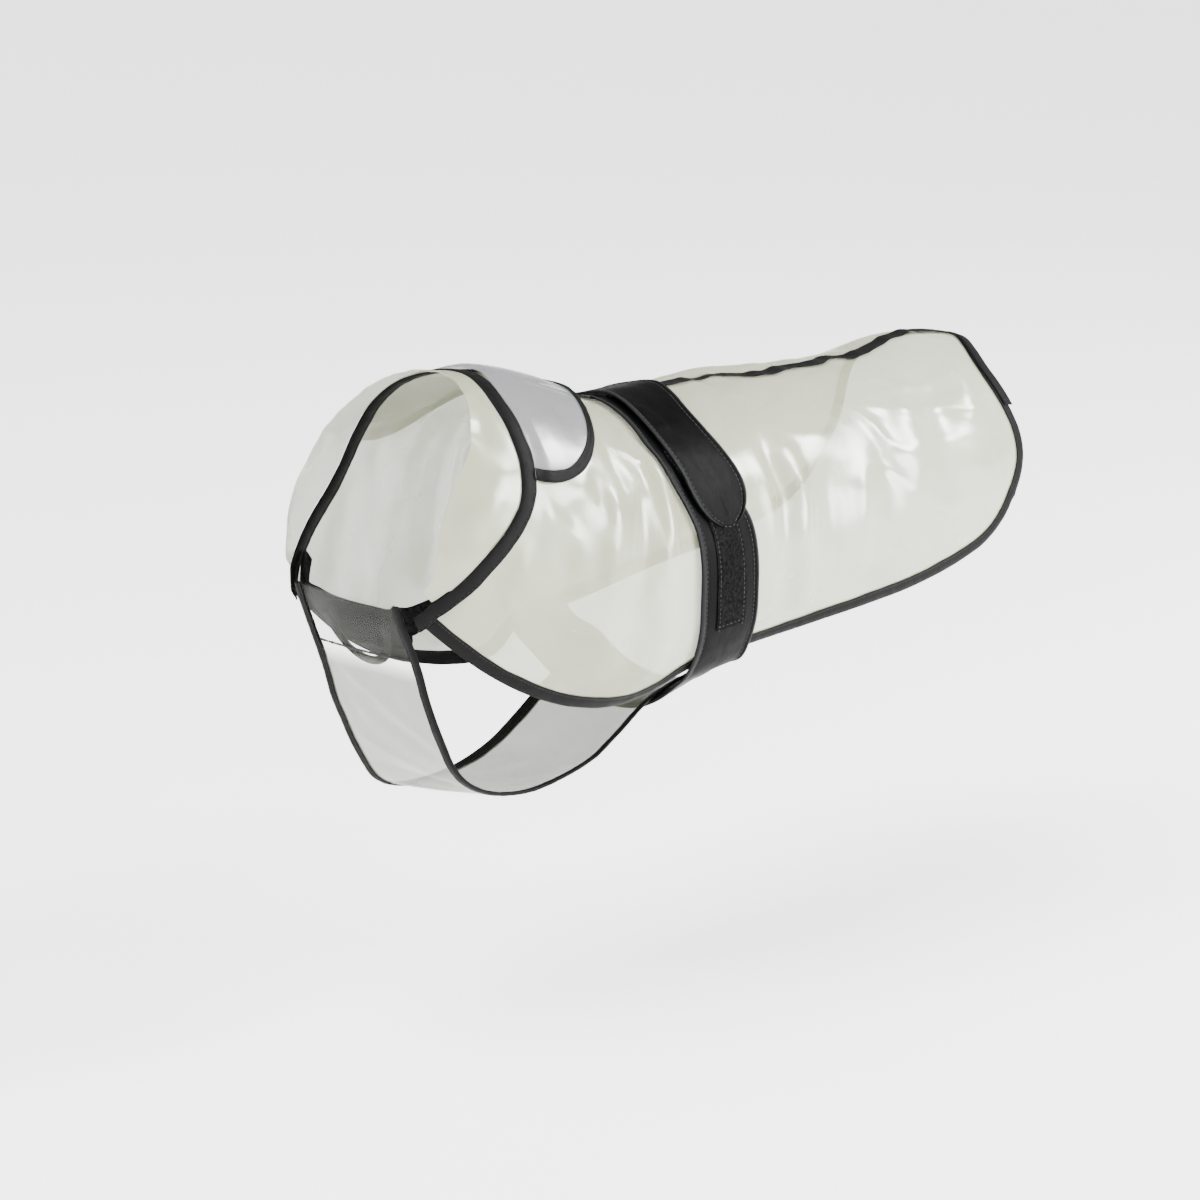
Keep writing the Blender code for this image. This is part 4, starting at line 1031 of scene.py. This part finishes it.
def makeChestPanel():
    down = np.linspace(0, chestRows[-1][0], chest["steps"] + 1)[:, None]
    edge = readTable(chestRows, down)[..., 0]
    seam = edge - chest["bindingWidth"]
    inside = np.linspace(-1, 1, chest["across"] + 1)[None, :] * seam
    across = np.concatenate([-edge, inside, edge], axis=1)
    down = down + 0 * across
    (top, topFade), (end, endFade) = chest["fadeTop"], chest["fadeEnd"]
    fade = smoothStep((seam - np.abs(across)) / chest["fadeBeside"])
    fade = fade * smoothStep((down - top) / topFade) * smoothStep((end - down) / endFade)
    # over the hem, the tab and the straps the film only presses outwards
    crease = chestCrease(down, across) * fade
    crease = np.where(down < chest["backedDown"], np.maximum(crease, -chest["backedSinks"]), crease)
    middle = wallFilm / 2 + crease
    film = filmPiece("chestPanelFilm", lambda lift: chestPoint(down, across, lift), middle, chestMaterial)
    tapes = []
    for name, columns, seed in (("chestBindingLeft", (-2, -1), 51), ("chestBindingRight", (1, 0), 57)):
        lines = [(down[:, k], across[:, k], 0.0) for k in columns]
        tapes += foldedTape(name, chestPoint, *lines, seed)
    return film, tapes


chestPanelFilm, chestTapes = makeChestPanel()


def makeThroatHem():
    halfWidth = readTable(chestRows, 0.0)[0] - chest["bindingWidth"] - chest["hemInset"]
    downs, acrosses = (steps + 1 for steps in chest["hemSteps"])
    sides = np.linspace(0, chest["hem"], downs), np.linspace(-halfWidth, halfWidth, acrosses)
    down, across = np.meshgrid(*sides, indexing="ij")
    middle = -gap - wallFilm / 2
    film = filmPiece("throatHemFilm", lambda lift: chestPoint(down, across, lift), middle, backedMaterial)
    reach = halfWidth - chest["hemStitchInset"]
    line = np.linspace(-reach, reach, chest["hemStitchPoints"])
    at = np.full(line.shape, chest["hem"] - chest["hemStitchUp"])
    seam, above = (chestPoint(at, line, lift) for lift in (wallFilm, wallFilm + 1))
    runs = [(seam, unit(above - seam))]
    return film, stitchPiece("throatHemStitches", runs, greyThread, **chest["hemSeam"])


throatHemFilm, throatHemStitches = makeThroatHem()


tab = dict(
    halfWidth=26.0, length=30.0, border=(5.0, 5.0), middle=-3.0, down=20.0, behind=3.0, spokes=40, rings=8,
)


def makeChestTab():
    across, along = halfDisc(tab)
    across, down = tab["middle"] + across, tab["down"] + along
    middle = -tab["behind"] - wallFilm / 2
    film = filmPiece("chestTabFilm", lambda lift: chestPoint(down, across, lift), middle, backedMaterial)
    lines = [(down[:, k], across[:, k], -tab["behind"] - wallFilm) for k in (-2, -1)]
    return film, *foldedTape("chestTabBinding", chestPoint, *lines, 61)


chestTabFilm, chestTabBinding, chestTabStitches = makeChestTab()
print("chest panel made")


# behind: how far the left and the right strap lie behind the chest panel
strap = dict(
    behind={1: 6.8, -1: 8.8}, skin=1.1, onCoatLift=-2 * (wallTape + gap) - 0.2, steps=44, across=14,
    spacing=1.7, loop=0.55, pileSections=(1, -9),
)
# across, down, half height inside the panel, then the same as stations and turns on the coat's tip
strapInPanel = [
    (-33, 25, 3.5), (-31, 25, 8.5), (-27, 25, 12), (-20, 25, 13.6), (-12, 25, 14), (0, 25, 14), (12, 25, 14),
]
strapEnds = {1: [(24, 21.5, 12.4), (34, 16.5, 10.4), (44, 12.5, 9)],
             -1: [(24, 24.5, 14.2), (34, 21, 13.2), (44, 15, 10.4)]}
strapOnCoat = [(-176, 126, 10.5), (-168, 125, 10)]


def strapFaces(side):
    behind = strap["behind"][side]
    share = np.linspace(-1, 1, strap["across"] + 1)
    low, high = [], []
    for across, middle, halfHeight in strapInPanel + strapEnds[side]:
        down = middle + share * halfHeight
        high.append(chestPoint(down, side * across, -behind))
        low.append(chestPoint(down, side * across, -behind - strap["skin"]))
    for station, turn, halfHeight in strapOnCoat:
        turns = side * (turn + share * halfHeight * degreesPerMm(station, turn))
        high.append(clothPoint(station, turns, strap["onCoatLift"]))
        low.append(clothPoint(station, turns, strap["onCoatLift"] - strap["skin"]))
    places = np.linspace(0, len(low) - 1, strap["steps"] + 1)
    return [smoothRows(np.array(face), places) for face in (low, high)]


def smoothRows(points, places):
    # more sections between the given ones, on a smooth curve through them
    rows = [(k, *points[k].ravel()) for k in range(len(points))]
    return readTable(rows, places).reshape(len(places), *points.shape[1:])


def makeStrap(name, side, seed):
    low, high = strapFaces(side)
    piece = loft(name, bothFaces(low, high), pileMaterial)
    first, last = strap["pileSections"]
    loops = pilePiece(name + "Pile", high[first:last, ::-side], strap["spacing"], strap["loop"], seed)
    return piece, loops


strapLeft, strapPileLeft = makeStrap("throatStrapLeft", 1, 71)
strapRight, strapPileRight = makeStrap("throatStrapRight", -1, 73)
print("throat straps made")


# share across, height of the top face as a share of the thickness: a bound edge, its groove and the middle
beltProfile = [
    (-1.0, 0.60), (-0.99, 0.95), (-0.95, 1.12), (-0.88, 1.06), (-0.84, 0.62), (-0.80, 0.78), (-0.6, 0.90),
    (-0.3, 0.96), (0.0, 0.98), (0.3, 0.96), (0.6, 0.90), (0.80, 0.78), (0.84, 0.62), (0.88, 1.06),
    (0.95, 1.12), (0.99, 0.95), (1.0, 0.60),
]
# turn, across, angle from the belt's run, half length, half width, height
beltCreases = [
    (421, -8, 10, 26, 1.8, 1.6), (419, 2, 6, 30, 2.2, -1.3), (424, 9, 12, 22, 1.8, 1.4),
    (409, -14, 8, 22, 2.0, 1.1), (398, 4, -16, 28, 2.4, 1.2), (388, -10, 24, 18, 2.0, 1.8),
    (384, -4, 20, 16, 2.0, -1.2), (376, 10, -10, 24, 3.0, -0.7), (366, -4, 12, 22, 3.0, 0.6),
    (404, 14, 6, 22, 2.2, 0.9), (402, -6, 12, 26, 2.0, -0.8), (90, -12, 10, 22, 2.4, 0.4),
    (118, 8, -40, 16, 2.6, 0.7), (124, -10, 36, 14, 2.4, 0.6), (300, 6, 8, 30, 3.0, 0.5),
    (270, -8, -8, 30, 3.0, 0.5), (240, 8, -30, 16, 2.6, 0.6), (330, -4, 14, 26, 3.0, 0.5),
]
pad = dict(turns=(44.0, 110.0), halfWidth=12.4, thickness=0.5, across=12, spacing=1.5, loop=0.55)


def beltRise(turn, across):
    height = np.zeros(np.broadcast(turn, across).shape)
    for at, middle, angle, halfLength, halfWidth, peak in beltCreases:
        run, side = fromCrease((turn - at) * mmPerDegree, across - middle, angle, halfLength)
        height = height + peak * smoothStep(1.2 - np.abs(run)) * np.exp(-((np.abs(side) / halfWidth) ** 1.5))
    return height


def beltPoint(turn, across, height):
    station, lift, tilt = np.moveaxis(readTable(beltLine, turn), -1, 0)
    lift = lift - tilt * across / belt["width"]
    return clothPoint(station + across, turn, lift + height)


def beltPlaces():
    last = beltLine[-1][0]
    straight = np.arange(belt["starts"], last - belt["tipTurn"], belt["step"])
    bend = np.sin(np.linspace(0, 1, belt["tipSteps"]) * math.pi / 2 * 0.985)
    turns = np.concatenate([straight, last - belt["tipTurn"] + belt["tipTurn"] * bend])
    past = np.clip((turns - (last - belt["tipTurn"])) / belt["tipTurn"], 0, 1)
    return turns, belt["width"] / 2 * np.sqrt(1 - past**2), past


def makeBelt():
    turns, halfWidths, past = beltPlaces()
    profile = np.array(beltProfile)
    across = halfWidths[:, None] * profile[None, :, 0]
    turn = turns[:, None] + 0 * across
    rounded = smoothStep((past - 0.9) / 0.1)[:, None]
    top = belt["thickness"] * (profile[None, :, 1] * (1 - rounded) + 0.75 * rounded)
    fade = smoothStep((halfWidths[:, None] * 0.8 - np.abs(across)) / 4) * smoothStep((turn - 30) / 10)
    rise = beltRise(turn, across) * fade
    # the lapped end has room below it, the rest lies close
    free = smoothStep((turn - belt["freeFrom"]) / 10)
    rise = np.where(rise > 0, rise, rise * (belt["pressed"] + (1 - belt["pressed"]) * free))
    padded = (turn > pad["turns"][0] - 4) & (turn < pad["turns"][1] + 4)
    padded = padded & (np.abs(across) < pad["halfWidth"] + 2)
    rise = np.where(padded, np.minimum(rise, 0.1), rise)
    high = beltPoint(turn, across, top + rise)
    # behind its own start the lapped end is filled down to the coat
    lift = readTable(beltLine, turn)[..., 1]
    filled = np.where((turn > belt["fillsFrom"]) & (turn < 360 + belt["starts"]), lift - overTape, 0.0)
    low = beltPoint(turn, across, np.maximum(0.12 + rise * 0.8, -0.2) - filled)
    return loft("beltStrap", bothFaces(low, high), beltMaterial)


beltSeamThickness = 0.6


def beltStitches():
    turns, halfWidths, past = beltPlaces()
    seam = np.minimum(halfWidths * belt["bandShare"], halfWidths - belt["band"])
    beforeTip = past < belt["tipRound"]
    keep = beforeTip & (turns > belt["starts"] + 2)
    runs = []
    for side in (-1, 1):
        for height, facing in ((belt["thickness"] * 0.78, 1), (stitchLift, -1)):
            points, above = (beltPoint(turns[keep], side * seam[keep], height + up) for up in (0, 1))
            runs.append((points, unit(above - points) * facing))
    last, reach = turns[beforeTip][-1], seam[beforeTip][-1]
    across = np.linspace(-reach, reach, 12)
    turn = last + 1.2 * np.sqrt(np.maximum(1 - (across / reach) ** 2, 0)) * 1.5
    points, above = (beltPoint(turn, across, height) for height in (belt["thickness"] * 0.85, 2.3))
    runs.append((points, unit(above - points)))
    return stitchPiece("beltStitches", runs, beltThread, length=2.5, thickness=beltSeamThickness)


beltPiece = makeBelt()
beltSeams = beltStitches()


def makePad():
    turns = np.arange(pad["turns"][0], pad["turns"][1] + 0.1, belt["step"])[:, None]
    across = np.linspace(-1, 1, pad["across"] + 1)[None, :] * pad["halfWidth"]
    turns = turns + 0 * across
    low = beltPoint(turns, across, belt["thickness"] + gap * 0.5)
    ups = unit(beltPoint(turns, across, 3.0) - low)
    piece = flatPiece("beltLoopPad", low, ups, pad["thickness"], pileMaterial)
    top = low + ups * (pad["thickness"] * 0.9)
    loops = pilePiece("beltLoopPile", top, pad["spacing"], pad["loop"], 83)
    rows, faces = ([grid[:, 1], grid[:, -2], grid[1, 1:-1], grid[-2, 1:-1]] for grid in (top, ups))
    seams = stitchPiece("beltPadStitches", list(zip(rows, faces)), beltThread, thickness=beltSeamThickness)
    return piece, loops, seams


beltPad, beltPile, beltPadSeams = makePad()
print("belt made")


studio = dict(floor=-346.0, halfWidth=60000.0, glow=0.75)


def makeFloor():
    half, height = studio["halfWidth"], studio["floor"]
    corners = [(-half, -half, height), (half, -half, height), (half, half, height), (-half, half, height)]
    glow = dict(Emission_Color=(1.0, 1.0, 1.0, 1.0), Emission_Strength=studio["glow"])
    look = Look("floorPale", Roughness=0.8, Specular_IOR_Level=0.2, **glow)
    tone = look.noise(look.place(), 3.0, 2.0)
    look.drive("Base Color", look.mix(tone, (0.90, 0.90, 0.90), (0.92, 0.92, 0.92)))
    return newPiece("studioFloor", corners, [(0, 1, 2, 3)], look.material)


viewpoint = dict(
    azimuth=43.45, elevation=15.40, distance=2609.6, focalPixels=4289.3, imagePixels=1200.0,
    target=(0.0, -23.7, -123.5), sensor=36.0, clipEnd=120.0,
)


def makeCamera():
    turn, tilt = math.radians(viewpoint["azimuth"]), math.radians(viewpoint["elevation"])
    back = Vector((math.sin(turn) * math.cos(tilt), -math.cos(turn) * math.cos(tilt), math.sin(tilt)))
    lens = bpy.data.cameras.new("photoView")
    lens.sensor_width = viewpoint["sensor"]
    lens.lens = viewpoint["focalPixels"] / viewpoint["imagePixels"] * viewpoint["sensor"]
    lens.clip_end = viewpoint["clipEnd"]
    camera = linked("photoView", lens)
    camera.location = (Vector(viewpoint["target"]) + back * viewpoint["distance"]) * mm
    camera.rotation_euler = (-back).to_track_quat("-Z", "Y").to_euler()
    bpy.context.scene.camera = camera


# place, what it points at, size and power of the soft boxes, in metres and watts
softBoxes = [
    ("softFront", (-0.9, -2.3, 1.3), (0.0, -0.1, -0.1), 0.9, 34.0),
    ("softRear", (1.35, 2.0, 1.45), (0.0, 0.0, -0.1), 0.8, 60.0),
    ("softSide", (2.15, 1.35, 0.35), (0.0, -0.05, -0.1), 1.0, 58.0),
    ("softNear", (1.9, -2.1, 0.7), (0.0, -0.1, -0.1), 1.4, 47.0),
]
boxSpread = 120.0
sky = dict(strength=5.6, spread=50.0, towards=(0.25, 0.30, -1.0), world=0.5)


def aimed(name, lamp, place, direction):
    holder = linked(name, lamp)
    holder.location = place
    holder.rotation_euler = Vector(direction).to_track_quat("-Z", "Y").to_euler()


def makeLights():
    for name, place, target, size, power in softBoxes:
        lamp = bpy.data.lights.new(name, "AREA")
        lamp.shape = "SQUARE"
        lamp.size = size
        lamp.spread = math.radians(boxSpread)
        lamp.energy = power
        aimed(name, lamp, place, Vector(target) - Vector(place))
    lamp = bpy.data.lights.new("skyPanel", "SUN")
    lamp.energy = sky["strength"]
    lamp.angle = math.radians(sky["spread"])
    aimed("skyPanel", lamp, (0.0, 0.0, 3.0), sky["towards"])
    world = bpy.data.worlds.new("studio")
    world.use_nodes = True
    world.node_tree.nodes["Background"].inputs["Color"].default_value = (1.0, 1.0, 1.0, 1.0)
    world.node_tree.nodes["Background"].inputs["Strength"].default_value = sky["world"]
    bpy.context.scene.world = world


makeCamera()
makeLights()
floor = makeFloor()
print("studio made")


chestBindingLeft, chestStitchesLeft, chestBindingRight, chestStitchesRight = chestTapes
# piece, the part's node that it replaces, material slot
stands = [
    (coatFilmLeft, "coat_left", "frosted_film"), (coatFilmRight, "coat_right", "frosted_film"),
    (neckBinding, "neck_binding", "binding_tape"), (hemBinding, "hem_binding", "binding_tape"),
    (spineTapePiece, "spine_tape", "binding_tape"), (rearTapePiece, "rear_tape_end", "binding_tape"),
    (collarFilm, "collar", "frosted_film"), (neckFlapFilm, "neck_flap", "frosted_film"),
    (neckFlapBinding, "neck_flap_binding", "binding_tape"), (chestPanelFilm, "chest_panel", "frosted_film"),
    (chestBindingLeft, "chest_binding_left", "binding_tape"),
    (chestBindingRight, "chest_binding_right", "binding_tape"),
    (throatHemFilm, "throat_hem", "frosted_film"),
    (chestTabFilm, "chest_tab", "frosted_film"), (chestTabBinding, "chest_tab_binding", "binding_tape"),
    (strapLeft, "neck_strap_left", "hook_and_loop"), (strapRight, "neck_strap_right", "hook_and_loop"),
    (beltPiece, "belt", "belt_webbing"), (beltPad, "belt_loop_pad", "hook_and_loop"),
]
for piece, node, slot in stands:
    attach(piece, "root")
    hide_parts(node)
threads = [
    neckStitches, hemStitches, spineStitches, rearTapeStitches, neckFlapStitches, chestStitchesLeft,
    chestStitchesRight, throatHemStitches, chestTabStitches, beltSeams, beltPadSeams,
]
for piece in threads:
    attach(piece, "root")
for piece in (strapPileLeft, strapPileRight, beltPile):
    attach(piece, "root")

# piece, flat width and length in metres, flat area where the cut is no rectangle, how it is held, what
# carries it, and what is sewn on it
cuts = [
    (coatFilmLeft, (0.240, 0.550), 0.0940, "draped", [], []),
    (coatFilmRight, (0.240, 0.550), 0.0940, "draped", [], []),
    (neckBinding, (0.020, 0.413), None, "folded", [coatFilmLeft, coatFilmRight], [neckStitches]),
    (hemBinding, (0.0176, 1.36), None, "folded", [coatFilmLeft, coatFilmRight], [hemStitches]),
    (spineTapePiece, (0.011, 0.453), None, "laid", [coatFilmLeft, coatFilmRight], [spineStitches]),
    (rearTapePiece, (0.011, 0.074), None, "laid", [hemBinding], [rearTapeStitches]),
    (collarFilm, (0.042, 0.370), 0.0088, "stretched", [neckBinding], []),
    (neckFlapFilm, (0.095, 0.194), 0.0122, "laid", [coatFilmLeft, coatFilmRight], []),
    (neckFlapBinding, (0.0130, 0.273), None, "folded", [neckFlapFilm], [neckFlapStitches]),
    (chestPanelFilm, (0.086, 0.354), None, "hung", [], []),
    (chestBindingLeft, (0.0132, 0.347), None, "folded", [chestPanelFilm], [chestStitchesLeft]),
    (chestBindingRight, (0.0131, 0.359), None, "folded", [chestPanelFilm], [chestStitchesRight]),
    (throatHemFilm, (0.040, 0.071), None, "folded", [chestPanelFilm], [throatHemStitches]),
    (chestTabFilm, (0.030, 0.052), 0.00129, "hung", [chestPanelFilm], []),
    (chestTabBinding, (0.0118, 0.081), None, "folded", [chestTabFilm], [chestTabStitches]),
    (strapLeft, (0.024, 0.114), None, "hung", [], [strapPileLeft]),
    (strapRight, (0.024, 0.114), None, "hung", [], [strapPileRight]),
    (beltPiece, (0.050, 0.727), None, "stretched", [coatFilmLeft, coatFilmRight], [beltSeams]),
    (beltPad, (0.0248, 0.119), None, "laid", [beltPiece], [beltPile, beltPadSeams]),
]
for piece, flat, area, held, carriers, sewnOn in cuts:
    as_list(carriers)
    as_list(sewnOn)
